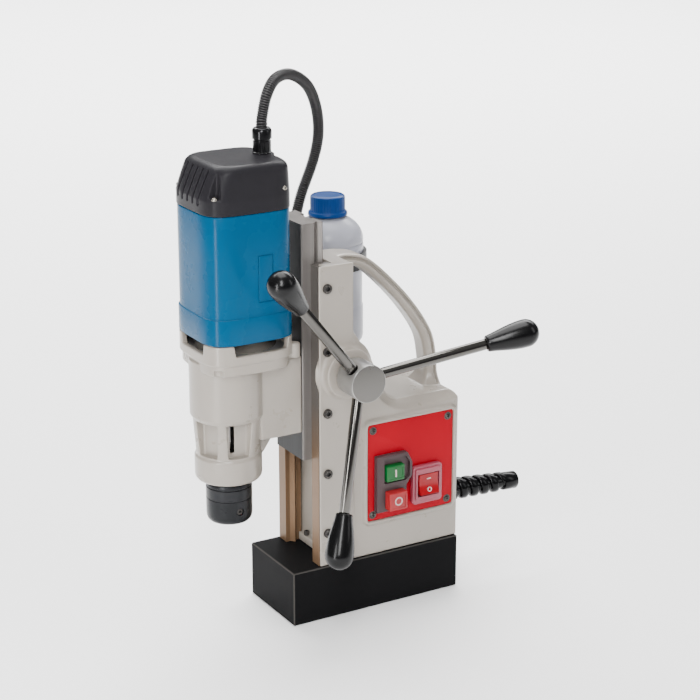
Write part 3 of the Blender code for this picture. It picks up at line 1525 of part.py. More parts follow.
def switches():
    front = PANEL_FRONT - BEZEL_OUT
    seat = PANEL_FRONT - GAP
    low, high = switch_neck()
    left = SWITCH_X - BUTTON_WIDTH / 2 - 0.0085
    right = SWITCH_X + BUTTON_WIDTH / 2 + 0.0035
    bottom = STOP_Z - STOP_HEIGHT / 2 - 0.0025
    top = START_Z + START_HEIGHT / 2 + 0.0095
    waist = START_Z - START_HEIGHT / 2 - 0.0065
    outline = [
        (left, bottom),
        (right, bottom),
        (right, waist),
        (right + 0.0060, waist + 0.0080),
        (right + 0.0060, top - 0.0100),
        (right + 0.0010, top),
        (left, top),
    ]
    housing = extruded("switch_housing", [outline], "XZ", front, seat, BLACK, 0.0006)
    neck = block(
        "switch_neck",
        (low[0] + GAP, front + 0.002, low[1] + GAP),
        (high[0] - GAP, PANEL_FRONT + SWITCH_BODY_DEPTH, high[1] - GAP),
    )
    join(housing, neck)
    pocket_end = front + 0.004 + BUTTON_TRAVEL + BUTTON_TAIL + 0.001
    buttons = (
        ("start_button", START_Z, START_HEIGHT, START_OUT, GREEN),
        ("stop_button", STOP_Z, STOP_HEIGHT, STOP_OUT, RED),
    )
    for name, height, size, out, finish in buttons:
        half_x, half_z = BUTTON_WIDTH / 2, size / 2
        pocket = block(
            name + "_pocket",
            (SWITCH_X - half_x - RUNNING_GAP, front - 2 * OVERLAP, height - half_z - RUNNING_GAP),
            (SWITCH_X + half_x + RUNNING_GAP, pocket_end, height + half_z + RUNNING_GAP),
        )
        cut(housing, pocket)
        button = block(
            name,
            (SWITCH_X - half_x, PANEL_FRONT - out, height - half_z),
            (SWITCH_X + half_x, pocket_end - BUTTON_TRAVEL - 0.001, height + half_z),
            finish,
        )
        bevel = button.modifiers.new("edges", "BEVEL")
        bevel.width = 0.0008
        bevel.segments = 1

    half_x = ROCKER_WIDTH / 2 + ROCKER_ROOM
    half_z = ROCKER_HEIGHT / 2 + ROCKER_ROOM
    frame = extruded(
        "rocker_frame",
        [
            rectangle(
                ROCKER_X - ROCKER_BEZEL_LENGTH / 2,
                ROCKER_Z - ROCKER_BEZEL_HEIGHT / 2,
                ROCKER_X + ROCKER_BEZEL_LENGTH / 2,
                ROCKER_Z + ROCKER_BEZEL_HEIGHT / 2,
                0.003,
                3,
            )
        ],
        "XZ",
        front,
        seat,
        RED,
        0.0006,
    )
    rocker_body = block(
        "rocker_body",
        (ROCKER_X - half_x - 0.0012, front + 0.002, ROCKER_Z - half_z - 0.0012),
        (ROCKER_X + half_x + 0.0012, PANEL_FRONT + SWITCH_BODY_DEPTH, ROCKER_Z + half_z + 0.0012),
    )
    rocker_pocket = block(
        "rocker_pocket",
        (ROCKER_X - half_x, front - OVERLAP, ROCKER_Z - half_z),
        (ROCKER_X + half_x, rocker_axis_y() + 0.006, ROCKER_Z + half_z),
    )
    cut(join(frame, rocker_body), rocker_pocket)
    rocker()


def rocker_axis_y():
    return PANEL_FRONT - 0.0015


def rocker():
    """A two-way rocker key, drawn with its upper end pressed in, turning about X."""
    half = ROCKER_HEIGHT / 2
    points = [
        (-ROCKER_OUT - 0.0010, half),
        (-ROCKER_OUT + 0.0006, 0),
        (-ROCKER_OUT - 0.0010, -half),
        (0.0008, -half + 0.0015),
        (0.0030, 0),
        (0.0008, half - 0.0015),
    ]
    turn = Matrix.Rotation(-ROCKER_TILT, 2)
    outline = []
    for out, up in points:
        moved = turn @ Vector((out, up))
        outline.append((rocker_axis_y() + moved.x, ROCKER_Z + moved.y))
    extruded(
        "magnet_rocker", [outline], "YZ", ROCKER_X - ROCKER_WIDTH / 2, ROCKER_X + ROCKER_WIDTH / 2, RED
    )


def control_board():
    middle = (PANEL_X, PANEL_Z - 0.004)
    half_x, half_z = BOARD_LENGTH / 2, BOARD_HEIGHT / 2
    board = block(
        "control_board",
        (middle[0] - half_x, BOARD_Y, middle[1] - half_z),
        (middle[0] + half_x, BOARD_Y + BOARD_THICKNESS, middle[1] + half_z),
        GREEN,
    )
    parts = (
        ("transformer", (-0.020, -0.022), (0.022, 0.018), 0.014),
        ("relay", (0.012, -0.024), (0.018, 0.014), 0.012),
        ("heat_sink", (-0.004, 0.018), (0.030, 0.012), 0.010),
    )
    for name, (across, up), (width, height), depth in parts:
        x, z = middle[0] + across, middle[1] + up
        part = block(
            name,
            (x - width / 2, BOARD_Y - depth, z - height / 2),
            (x + width / 2, BOARD_Y + BOARD_THICKNESS / 2, z + height / 2),
        )
        join(board, part)


def strain_relief():
    axis = Vector((math.cos(RELIEF_DROOP), 0, -math.sin(RELIEF_DROOP)))
    root_radius = RELIEF_ROOT_RADIUS + 0.001
    start = Vector((BODY_REAR + GAP - root_radius * math.tan(RELIEF_DROOP), RELIEF_Y, RELIEF_Z))
    spiral_length = RELIEF_LENGTH - RELIEF_TIP_LENGTH
    pitch = (spiral_length - 0.004) / RELIEF_RINGS
    taper = (RELIEF_ROOT_RADIUS - RELIEF_TIP_RADIUS) / spiral_length
    profile = [
        (RELIEF_TIP_RADIUS - 0.001, RELIEF_LENGTH),
        (RELIEF_TIP_RADIUS, RELIEF_LENGTH - 0.001),
        (RELIEF_TIP_RADIUS, spiral_length),
    ]
    for ring_number in reversed(range(RELIEF_RINGS)):
        along = 0.004 + ring_number * pitch
        radius = RELIEF_ROOT_RADIUS - taper * along
        profile += [
            (radius - RELIEF_RING_DEPTH, along + pitch * 0.85),
            (radius - RELIEF_RING_DEPTH, along + pitch * 0.55),
            (radius, along + pitch * 0.40),
            (radius, along),
        ]
    profile += [
        (root_radius, 0.0035),
        (root_radius, 0),
        (0, 0),
    ]
    bore = [
        (0, RELIEF_LENGTH - CORD_BORE_DEPTH),
        (CORD_BORE, RELIEF_LENGTH - CORD_BORE_DEPTH),
        (CORD_BORE, RELIEF_LENGTH),
    ]
    relief = turned("strain_relief", bore + profile, start, BLACK, tuple(axis), 14)
    neck = rod(
        "relief_neck",
        RELIEF_NECK_RADIUS,
        (BODY_REAR - BODY_WALL - RELIEF_NUT_LENGTH - 0.001, RELIEF_Y, RELIEF_Z),
        (BODY_REAR + 0.003, RELIEF_Y, RELIEF_Z),
        sides=20,
    )
    trim = block(
        "relief_trim",
        (BODY_REAR - 0.010, RELIEF_Y - 0.02, RELIEF_Z - 0.02),
        (BODY_REAR + GAP, RELIEF_Y + 0.02, RELIEF_Z + 0.02),
    )
    cut(relief, trim)
    join(relief, neck)
    nut_end = BODY_REAR - BODY_WALL - GAP
    nut_start = nut_end - RELIEF_NUT_LENGTH
    nut = rod(
        "strain_relief_nut",
        RELIEF_NUT_RADIUS,
        (nut_start, RELIEF_Y, RELIEF_Z),
        (nut_end, RELIEF_Y, RELIEF_Z),
        BLACK,
        6,
    )
    thread = rod(
        "nut_thread",
        RELIEF_NECK_RADIUS + GAP,
        (nut_start - OVERLAP, RELIEF_Y, RELIEF_Z),
        (nut_end + OVERLAP, RELIEF_Y, RELIEF_Z),
        sides=20,
    )
    cut(nut, thread)


def bottle():
    base = (BOTTLE_X, BOTTLE_Y, BOTTLE_BOTTOM)
    radius, height, wall = BOTTLE_RADIUS, BOTTLE_HEIGHT, BOTTLE_WALL
    neck_top = height + BOTTLE_NECK_HEIGHT
    neck = BOTTLE_NECK_RADIUS
    outer = [
        (neck, neck_top),
        (neck, height),
        (neck + 0.0040, height - 0.0015),
        (radius - 0.0070, height - 0.0060),
        (radius - 0.0020, height - 0.0120),
        (radius, height - 0.0190),
        (radius, height * 0.58),
        (radius - 0.0008, height * 0.56),
        (radius - 0.0008, height * 0.36),
        (radius, height * 0.34),
        (radius, 0.0070),
        (radius - 0.0020, 0.0020),
        (radius - 0.0070, 0),
        (0, 0),
    ]
    inner = [
        (0, wall),
        (radius - 0.0075, wall),
        (radius - wall - 0.0008, 0.0078),
        (radius - wall - 0.0008, height - 0.0195),
        (radius - 0.0080, height - 0.0082),
        (neck - wall, height - 0.0035),
        (neck - wall, neck_top),
    ]
    shell = turned("coolant_bottle", inner + outer, base, MILKY, steps=20)
    smooth(shell)
    cap_low = height + GAP
    cap_top = cap_low + BOTTLE_CAP_HEIGHT
    cap = turned(
        "bottle_cap",
        [
            (0, cap_top),
            (CAP_RADIUS - 0.0016, cap_top),
            (CAP_RADIUS, cap_top - 0.0014),
            (CAP_RADIUS, cap_low + 0.0036),
            (CAP_SKIRT_RADIUS, cap_low + 0.0030),
            (CAP_SKIRT_RADIUS, cap_low),
            (neck + 0.0005, cap_low),
            (neck + 0.0005, neck_top + 0.0006),
            (0, neck_top + 0.0006),
        ],
        base,
        CLEAR_BLUE,
        steps=32,
    )
    smooth(cap)
    strap_inner = radius + GAP
    strap_outer = strap_inner + STRAP_THICKNESS
    strap = ring(
        "bottle_strap",
        strap_inner,
        strap_outer,
        STRAP_Z - STRAP_HEIGHT / 2,
        STRAP_Z + STRAP_HEIGHT / 2,
        (BOTTLE_X, BOTTLE_Y, 0),
        BLACK,
        steps=32,
    )
    face = COLUMN_REAR + GAP
    plate_low = STAND_SIDE - 0.003 - STRAP_PLATE_WIDTH
    plate = block(
        "strap_plate",
        (face, plate_low, STRAP_Z - STRAP_HEIGHT / 2 + 0.001),
        (face + STRAP_PLATE_THICKNESS, STAND_SIDE + 0.006, STRAP_Z + STRAP_HEIGHT / 2 - 0.001),
    )
    corner = Vector((face + STRAP_PLATE_THICKNESS / 2, STAND_SIDE + 0.003, STRAP_Z))
    middle = Vector((BOTTLE_X, BOTTLE_Y, STRAP_Z))
    toward = (middle - corner).normalized()
    reach = (middle - corner).length - strap_inner - STRAP_THICKNESS / 2
    arm = block(
        "strap_arm",
        (-reach / 2, -STRAP_PLATE_THICKNESS / 2, -STRAP_HEIGHT / 2 + 0.0015),
        (reach / 2, STRAP_PLATE_THICKNESS / 2, STRAP_HEIGHT / 2 - 0.0015),
    )
    arm.location = corner + toward * reach / 2
    arm.rotation_euler = (0, 0, math.atan2(toward.y, toward.x))
    join(strap, plate, arm)


magnet()
stand()
gibs()
gib_screws()
slide()
rack()
feed_shaft()
gearbox()
spindle()
layshaft()
armature()
motor_housing()
end_cap()
conduit()
panel()
switches()
control_board()
strain_relief()
bottle()
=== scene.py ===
"""The visual model of a magnetic drill press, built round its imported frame.
Lengths and places are in millimetres, in the frame's axes, and make() turns them into metres."""

import math

import bmesh
import bpy
from mathutils import Matrix, Vector


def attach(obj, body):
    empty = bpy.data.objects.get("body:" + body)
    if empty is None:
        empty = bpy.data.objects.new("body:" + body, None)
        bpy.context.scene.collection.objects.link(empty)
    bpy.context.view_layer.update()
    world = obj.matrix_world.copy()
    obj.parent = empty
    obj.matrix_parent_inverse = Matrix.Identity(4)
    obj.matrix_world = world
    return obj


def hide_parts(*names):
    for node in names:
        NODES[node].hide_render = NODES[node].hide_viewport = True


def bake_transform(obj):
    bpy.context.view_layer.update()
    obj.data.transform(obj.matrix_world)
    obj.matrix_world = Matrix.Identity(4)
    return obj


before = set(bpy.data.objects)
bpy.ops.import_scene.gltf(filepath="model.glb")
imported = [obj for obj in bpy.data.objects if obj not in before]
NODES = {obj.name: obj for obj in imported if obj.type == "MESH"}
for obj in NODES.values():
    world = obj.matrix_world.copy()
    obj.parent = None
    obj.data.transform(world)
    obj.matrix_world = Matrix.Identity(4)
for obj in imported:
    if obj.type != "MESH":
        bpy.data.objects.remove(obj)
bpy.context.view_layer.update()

MM = 0.001
FULL_TURN = 2 * math.pi


# ---------------------------------------------------------------- camera, light and floor


LENS, SENSOR = 96.70, 36.0
CAMERA_PLACE = (-0.7971, -1.3532, 0.7414)
CAMERA_DOWN, CAMERA_TURN = math.radians(18.034), math.radians(30.344)
LIGHTS = (  # name, place, target and size in metres, and watts
    ("key", (-0.75, -1.15, 1.15), (-0.05, 0, 0.25), (0.32, 1.0), 27.0),
    ("corner_strip", (-0.78, -0.41, 0.31), (-0.15, -0.04, 0.30), (0.09, 0.6), 5.0),
    ("right_fill", (1.05, -1.0, 0.9), (0, 0, 0.2), (0.3, 0.9), 4.0),
    ("top", (0.0, 0.15, 1.9), (0, 0, 0.2), (1.2, 1.2), 36.0),
    ("backdrop", (1.6, 3.2, 3.0), (1.8, 4.2, 0), (5.0, 5.0), 800.0),
)
SKY_LOW, SKY_HIGH, SKY_STRENGTH = (0.30, 0.30, 0.31, 1), (1.0, 1.0, 1.0, 1), 0.45
FLOOR_REACH, FLOOR_DROP = 14.0, 0.0003


def make_camera():
    data = bpy.data.cameras.new("camera")
    data.lens = LENS
    data.sensor_width = SENSOR
    camera = bpy.data.objects.new("camera", data)
    camera.location = CAMERA_PLACE
    camera.rotation_euler = (math.pi / 2 - CAMERA_DOWN, 0, -CAMERA_TURN)
    bpy.context.scene.collection.objects.link(camera)
    bpy.context.scene.camera = camera


def area_light(name, place, target, size, power):
    data = bpy.data.lights.new(name, "AREA")
    data.shape = "RECTANGLE"
    data.size, data.size_y = size
    data.energy = power
    light = bpy.data.objects.new(name, data)
    light.location = place
    aim = Vector(target) - Vector(place)
    light.rotation_euler = aim.to_track_quat("-Z", "Y").to_euler()
    bpy.context.scene.collection.objects.link(light)


def make_world():
    """A grey studio that brightens upwards."""
    world = bpy.data.worlds.new("studio")
    bpy.context.scene.world = world
    world.use_nodes = True
    tree = world.node_tree
    background = tree.nodes["Background"]
    coordinates = tree.nodes.new("ShaderNodeTexCoord")
    parts = tree.nodes.new("ShaderNodeSeparateXYZ")
    ramp = tree.nodes.new("ShaderNodeValToRGB")
    tree.links.new(coordinates.outputs["Generated"], parts.inputs[0])
    tree.links.new(parts.outputs["Z"], ramp.inputs[0])
    tree.links.new(ramp.outputs[0], background.inputs[0])
    stops = ramp.color_ramp.elements
    stops[0].position, stops[0].color = 0.0, SKY_LOW
    stops[1].position, stops[1].color = 0.75, SKY_HIGH
    background.inputs[1].default_value = SKY_STRENGTH


def make_studio():
    make_world()
    for light in LIGHTS:
        area_light(*light)
    data = bpy.data.meshes.new("floor")
    corners = ((-1, -1), (1, -1), (1, 1), (-1, 1))
    data.from_pydata([(x * FLOOR_REACH, y * FLOOR_REACH, 0) for x, y in corners], [], [(0, 1, 2, 3)])
    floor = bpy.data.objects.new("floor", data)
    bpy.context.scene.collection.objects.link(floor)
    floor.location.z = -FLOOR_DROP
    finish(floor, FLOOR)


# ---------------------------------------------------------------- materials

GRAIN_DEPTH = 0.00012


def linear(*colour):
    """sRGB values from 0 to 255 as the linear ones that a shader takes."""
    return tuple(
        c / 255 / 12.92 if c / 255 <= 0.04045 else ((c / 255 + 0.055) / 1.055) ** 2.4 for c in colour
    )


def material(
    name, colour, roughness, metallic=0.0, mottle=0.06, mottle_scale=35.0, grain=0.15, grain_scale=1500.0,
    rough_range=0.08, ridge_highlight=0.0, ridge_highlight_colour=None, stretch=(1.0, 1.0, 1.0), coat=0.0, subsurface=0.0,
    specular=0.5, side=None, shaded_side_colour=None, shade_heights=None, shaded_top_colour=None, edge_highlight_colour=None,
):
    """A painted, moulded or machined finish: uneven colour and gloss, and a fine surface grain.
    ridge_highlight_colour is a painted highlight on ridges and edges, shaded_side_colour painted shade on faces
    turned towards side, shaded_top_colour painted shade over the two heights in metres of shade_heights, and
    edge_highlight_colour a painted highlight on faces that lie along no axis."""
    made = bpy.data.materials.new(name)
    made.use_nodes = True
    tree = made.node_tree
    shader = tree.nodes["Principled BSDF"]
    shader.inputs["Metallic"].default_value = metallic
    shader.inputs["Coat Weight"].default_value = coat
    shader.inputs["Coat Roughness"].default_value = 0.08
    shader.inputs["Subsurface Weight"].default_value = subsurface
    shader.inputs["Subsurface Scale"].default_value = 0.003
    shader.inputs["Subsurface Radius"].default_value = (1.0, 1.0, 1.0)
    shader.inputs["IOR"].default_value = 1.49
    shader.inputs["Specular IOR Level"].default_value = specular

    def node(kind, **values):
        new = tree.nodes.new(kind)
        for key, value in values.items():
            new.inputs[key].default_value = value
        return new

    def link(source, target):
        tree.links.new(source, target)

    place = node("ShaderNodeTexCoord")
    mapping = node("ShaderNodeMapping", Scale=stretch)
    link(place.outputs["Object"], mapping.inputs["Vector"])
    broad = node("ShaderNodeTexNoise", Scale=mottle_scale, Detail=4.0, Roughness=0.55)
    fine = node("ShaderNodeTexNoise", Scale=grain_scale, Detail=3.0, Roughness=0.6)
    link(mapping.outputs[0], broad.inputs["Vector"])
    link(mapping.outputs[0], fine.inputs["Vector"])

    def mixed(share, first, second):
        """The output of a colour mix. Each colour is an output of another node or a plain colour."""
        mix = tree.nodes.new("ShaderNodeMix")
        mix.data_type = "RGBA"
        link(share, mix.inputs[0])
        for socket, value in ((mix.inputs[6], first), (mix.inputs[7], second)):
            if isinstance(value, tuple):
                socket.default_value = (*value, 1)
            else:
                link(value, socket)
        return mix.outputs[2]

    def between(value, low, high, most=1.0):
        """A share from 0 to most, as the value goes from low to high."""
        made = node("ShaderNodeMapRange")
        made.inputs["From Min"].default_value, made.inputs["From Max"].default_value = low, high
        made.inputs["To Max"].default_value = most
        link(value, made.inputs["Value"])
        return made.outputs[0]

    dark = tuple(c * (1 - mottle) for c in colour)
    pale = tuple(min(1.0, c * (1 + mottle)) for c in colour)
    shown = mixed(broad.outputs["Fac"], dark, pale)
    surface = tree.nodes.new("ShaderNodeNewGeometry")
    # Lighter colour on convex ridges and edges: a painted highlight.
    if ridge_highlight:
        shown = mixed(between(surface.outputs["Pointiness"], 0.53, 0.60, ridge_highlight), shown, ridge_highlight_colour)
    # A darker, greyer colour above the given heights: painted shade.
    if shade_heights:
        height = tree.nodes.new("ShaderNodeSeparateXYZ")
        link(place.outputs["Object"], height.inputs[0])
        shown = mixed(between(height.outputs["Z"], *shade_heights), shown, shaded_top_colour)
    # A darker colour on faces turned towards side: painted shade.
    if side:
        facing = tree.nodes.new("ShaderNodeVectorMath")
        facing.operation = "DOT_PRODUCT"
        facing.inputs[1].default_value = side
        link(surface.outputs["Normal"], facing.inputs[0])
        shown = mixed(between(facing.outputs["Value"], 0.90, 0.98), shown, shaded_side_colour)
    # A lighter colour on faces that lie along no axis, the bevels: a painted highlight.
    if edge_highlight_colour:
        size = tree.nodes.new("ShaderNodeVectorMath")
        size.operation = "ABSOLUTE"
        link(surface.outputs["True Normal"], size.inputs[0])
        sides = tree.nodes.new("ShaderNodeSeparateXYZ")
        link(size.outputs["Vector"], sides.inputs[0])
        most = sides.outputs["X"]
        for other in ("Y", "Z"):
            larger = tree.nodes.new("ShaderNodeMath")
            larger.operation = "MAXIMUM"
            link(most, larger.inputs[0])
            link(sides.outputs[other], larger.inputs[1])
            most = larger.outputs[0]
        shown = mixed(between(most, 0.99, 0.95), shown, edge_highlight_colour)
    link(shown, shader.inputs["Base Color"])

    gloss = node("ShaderNodeMapRange")
    gloss.inputs["To Min"].default_value = max(0.02, roughness - rough_range)
    gloss.inputs["To Max"].default_value = min(1.0, roughness + rough_range)
    link(broad.outputs["Fac"], gloss.inputs["Value"])
    link(gloss.outputs[0], shader.inputs["Roughness"])
    bump = node("ShaderNodeBump", Strength=grain, Distance=GRAIN_DEPTH)
    link(fine.outputs["Fac"], bump.inputs["Height"])
    link(bump.outputs[0], shader.inputs["Normal"])
    return made


LENGTHWISE = (1.0, 1.0, 0.03)  # grain drawn out along Z
TURNED = (1.0, 0.04, 1.0)  # grain drawn out along Y

FLOOR = material("floor_paper", (0.96, 0.96, 0.96), 0.95, mottle=0.003, grain=0.02, specular=0.1)
# The casting's lighter ridges and edges are a painted highlight.
CAST = material(
    "cast_paint", linear(142, 135, 126), 0.30, mottle=0.03, mottle_scale=60, grain=0.30, grain_scale=900,
    coat=0.15, specular=0.5, ridge_highlight=0.45, ridge_highlight_colour=linear(184, 178, 170),
)
SHROUD = material("shroud_grey", linear(84, 80, 74), 0.45, mottle=0.06, grain=0.3, specular=0.2)
BLUE = material(
    "motor_blue", linear(0, 68, 102), 0.28, mottle=0.04, grain=0.16, grain_scale=2200, coat=0.03,
    specular=0.08,
)
# The cap's lighter ridges and edges are a painted highlight.
CAP_BLACK = material(
    "cap_black", linear(32, 31, 34), 0.34, mottle=0.06, grain=0.55, grain_scale=1900,
    ridge_highlight=0.35, ridge_highlight_colour=linear(74, 73, 77), specular=0.08,
)
# The magnet's lighter bevels are a painted highlight.
MAGNET_BLACK = material(
    "magnet_black", linear(19, 19, 20), 0.42, mottle=0.10, mottle_scale=25, grain=0.45, grain_scale=1100,
    edge_highlight_colour=linear(60, 58, 56), specular=0.02,
)
# The gibs' darker, greyer upper part is painted shade.
GIB_BRONZE = material(
    "gib_bronze", linear(112, 88, 66), 0.42, metallic=0.30, mottle=0.20, mottle_scale=60,
    grain=0.5, grain_scale=900, stretch=LENGTHWISE, specular=0.2,
    shade_heights=(0.14, 0.20), shaded_top_colour=linear(84, 80, 76),
)
# The slide's near-black front face is painted shade.
SLIDE_STEEL = material(
    "slide_steel", linear(104, 100, 97), 0.36, metallic=0.30, specular=0.12, mottle=0.34, mottle_scale=110,
    grain=0.5, grain_scale=900, stretch=LENGTHWISE, side=(-1, 0, 0), shaded_side_colour=linear(12, 12, 14),
)
STEEL = material("machined_steel", linear(130, 128, 126), 0.30, metallic=1.0, grain=0.3)
# The screws' lighter ridges are painted glints.
SCREW_BLACK = material(
    "screw_black", linear(20, 19, 19), 0.35, metallic=0.6, grain=0.3,
    ridge_highlight=0.8, ridge_highlight_colour=linear(90, 86, 82),
)
SCREW_DARK = material("screw_dark", linear(70, 67, 64), 0.25, metallic=0.9, grain=0.25)
SCREW_BRIGHT = material("screw_bright", linear(150, 145, 136), 0.22, metallic=1.0, grain=0.25)
# The hub's darker end face is painted shade.
HUB = material(
    "hub_aluminium", linear(158, 157, 155), 0.30, metallic=0.8, mottle=0.06, grain=0.45, grain_scale=1600,
    stretch=TURNED, side=(0, -1, 0), shaded_side_colour=linear(100, 98, 95),
)
CHROME = material(
    "chrome_rod", linear(92, 90, 87), 0.15, metallic=1.0, mottle=0.02, grain=0.05, rough_range=0.03
)
KNOB = material(
    "knob_black", linear(7, 7, 8), 0.24, mottle=0.05, grain=0.04, rough_range=0.03, specular=0.22
)
# The arbor's lighter ridges and edges are a painted highlight.
ARBOR = material(
    "arbor_black", linear(26, 27, 29), 0.30, metallic=0.4, mottle=0.08, grain=0.35, grain_scale=1300,
    stretch=(1.0, 1.0, 6.0), ridge_highlight=0.4, ridge_highlight_colour=linear(76, 76, 80), specular=0.22,
)
RED = material(
    "panel_red", linear(152, 0, 24), 0.38, mottle=0.05, mottle_scale=22, grain=0.08, specular=0.07
)
SWITCH_GREY = material(
    "switch_grey", linear(66, 52, 54), 0.30, mottle=0.06, grain=0.2, subsurface=0.1, specular=0.2
)
GLOSSY_KEY = {"mottle": 0.10, "grain": 0.1, "coat": 0.1, "subsurface": 0.2, "specular": 0.25}
GREEN_KEY = material("green_key", linear(10, 84, 34), 0.22, **GLOSSY_KEY)
RED_KEY = material("red_key", linear(150, 32, 36), 0.22, **GLOSSY_KEY)
ROCKER_RED = material(
    "rocker_red", linear(140, 6, 20), 0.18, mottle=0.10, grain=0.1, coat=0.15, specular=0.25
)
CLEAR_RED = material(
    "rocker_frame", linear(140, 62, 76), 0.16, mottle=0.12, grain=0.1, coat=0.25, subsurface=0.2,
    specular=0.3,
)
KEY_MARK = material("key_mark", linear(196, 176, 172), 0.4, mottle=0.02, grain=0.05)
DARK_INSIDE = material("dark_inside", linear(10, 9, 9), 0.7, grain=0.3)
RELIEF = material("relief_black", linear(6, 6, 7), 0.20, mottle=0.05, grain=0.12, specular=0.16)
# The conduit's lighter ribs are painted glints.
CONDUIT = material(
    "conduit_black", linear(26, 25, 26), 0.30, metallic=0.2, mottle=0.10, grain=0.25,
    ridge_highlight=0.9, ridge_highlight_colour=linear(84, 83, 84), specular=0.25,
)
GLAND = material("gland_black", linear(24, 24, 26), 0.18, metallic=0.6, mottle=0.06, grain=0.10)
MILKY = material(
    "bottle_milky", linear(152, 153, 162), 0.30, mottle=0.015, grain=0.08, subsurface=0.4, specular=0.35
)
CAP_BLUE = material("bottle_cap_blue", linear(0, 48, 104), 0.33, mottle=0.05, grain=0.2, specular=0.14)
STRAP = material("strap_black", linear(18, 18, 19), 0.45, grain=0.3, specular=0.3)
COPPER = material("copper", linear(140, 78, 40), 0.35, metallic=0.9, grain=0.4)
EPOXY = material("epoxy", linear(22, 19, 16), 0.4, grain=0.3)
BOARD = material("board_green", linear(20, 66, 34), 0.4, grain=0.2)


def finish(obj, look):
    obj.data.materials.clear()
    obj.data.materials.append(look)
    return obj


# ---------------------------------------------------------------- mesh tools


def make(name, points, faces):
    """A mesh object from points in millimetres, with its faces turned outwards."""
    data = bpy.data.meshes.new(name)
    data.from_pydata([Vector(p) * MM for p in points], [], faces)
    shape = bmesh.new()
    shape.from_mesh(data)
    bmesh.ops.recalc_face_normals(shape, faces=shape.faces)
    shape.to_mesh(data)
    shape.free()
    obj = bpy.data.objects.new(name, data)
    bpy.context.scene.collection.objects.link(obj)
    return obj


def settle(obj):
    """Turns the object's modifiers into its mesh."""
    bpy.context.view_layer.update()
    graph = bpy.context.evaluated_depsgraph_get()
    data = bpy.data.meshes.new_from_object(obj.evaluated_get(graph))
    obj.modifiers.clear()
    obj.data = data
    return obj


def smooth(obj, degrees=30):
    obj.data.shade_smooth()
    obj.data.set_sharp_from_angle(angle=math.radians(degrees))
    return obj


def soften(obj, width, segments=3, degrees=30):
    """Rounds the hard edges."""
    bevel = obj.modifiers.new("edges", "BEVEL")
    bevel.width = width * MM
    bevel.segments = segments
    bevel.limit_method = "ANGLE"
    bevel.angle_limit = math.radians(degrees)
    return settle(obj)


def combine(obj, others, operation):
    for other in others:
        step = obj.modifiers.new("step", "BOOLEAN")
        step.operation = operation
        step.solver = "EXACT"
        step.object = other
        settle(obj)
        bpy.data.objects.remove(other, do_unlink=True)
    return obj


def cut(obj, *others):
    return combine(obj, others, "DIFFERENCE")


def join(obj, *others):
    return combine(obj, others, "UNION")


def gather(obj, *others):
    """Puts several closed shells into one object."""
    shape = bmesh.new()
    for each in (obj, *others):
        shape.from_mesh(each.data)
    shape.to_mesh(obj.data)
    shape.free()
    for other in others:
        bpy.data.objects.remove(other, do_unlink=True)
    return obj


def as_cast(obj, voxel, passes):
    """Gives a solid the soft edges and fillets of a casting or moulding."""
    remesh = obj.modifiers.new("remesh", "REMESH")
    remesh.mode = "VOXEL"
    remesh.voxel_size = voxel * MM * 1.0
    softer = obj.modifiers.new("soften", "SMOOTH")
    softer.factor = 0.5
    softer.iterations = passes
    settle(obj)
    obj.data.shade_smooth()
    return obj


def loft(name, rings, ends=True, loop=False):
    """A skin over rings with equal numbers of points."""
    count = len(rings[0])
    points = [p for ring in rings for p in ring]
    faces = []
    spans = len(rings) if loop else len(rings) - 1
    for i in range(spans):
        a, b = i * count, (i + 1) % len(rings) * count
        for j in range(count):
            k = (j + 1) % count
            faces.append((a + j, a + k, b + k, b + j))
    if ends and not loop:
        faces.append(tuple(range(count)))
        faces.append(tuple(range((len(rings) - 1) * count, len(rings) * count)))
    return make(name, points, faces)


def frame_at(axis):
    """Two directions across an axis."""
    axis = Vector(axis).normalized()
    side = Vector((0, 0, 1)) if abs(axis.z) < 0.9 else Vector((1, 0, 0))
    across = side.cross(axis).normalized()
    return axis, across, axis.cross(across)


def lathe(name, profile, base, axis=(0, 0, 1), steps=72, loop=False):
    """Turns a profile of (radius, distance along the axis). With loop the profile is a closed ring."""
    axis, across, up = frame_at(axis)
    base = Vector(base)
    rings = []
    for radius, along in profile:
        radius = max(radius, 0.01)
        ring = []
        for i in range(steps):
            angle = FULL_TURN * i / steps
            ring.append(base + axis * along + (across * math.cos(angle) + up * math.sin(angle)) * radius)
        rings.append(ring)
    return loft(name, rings, loop=loop)


def rod(name, radius, start, end, steps=48):
    start, end = Vector(start), Vector(end)
    return lathe(name, [(radius, 0), (radius, (end - start).length)], start, end - start, steps)


def block(name, low, high):
    x, y, z = zip(low, high)
    ring = [(0, 0), (1, 0), (1, 1), (0, 1)]
    return loft(name, [[(x[i], y[j], height) for i, j in ring] for height in z])


def prism(name, outline, plane, low, high, edge=0.0, segments=3):
    """A flat outline in the XY, XZ or YZ plane, extruded along the third axis."""
    spots = {
        "XY": lambda a, b, c: (a, b, c),
        "XZ": lambda a, b, c: (a, c, b),
        "YZ": lambda a, b, c: (c, a, b),
    }[plane]
    made = loft(name, [[spots(a, b, c) for a, b in outline] for c in (low, high)])
    return soften(made, edge, segments, 40) if edge else made


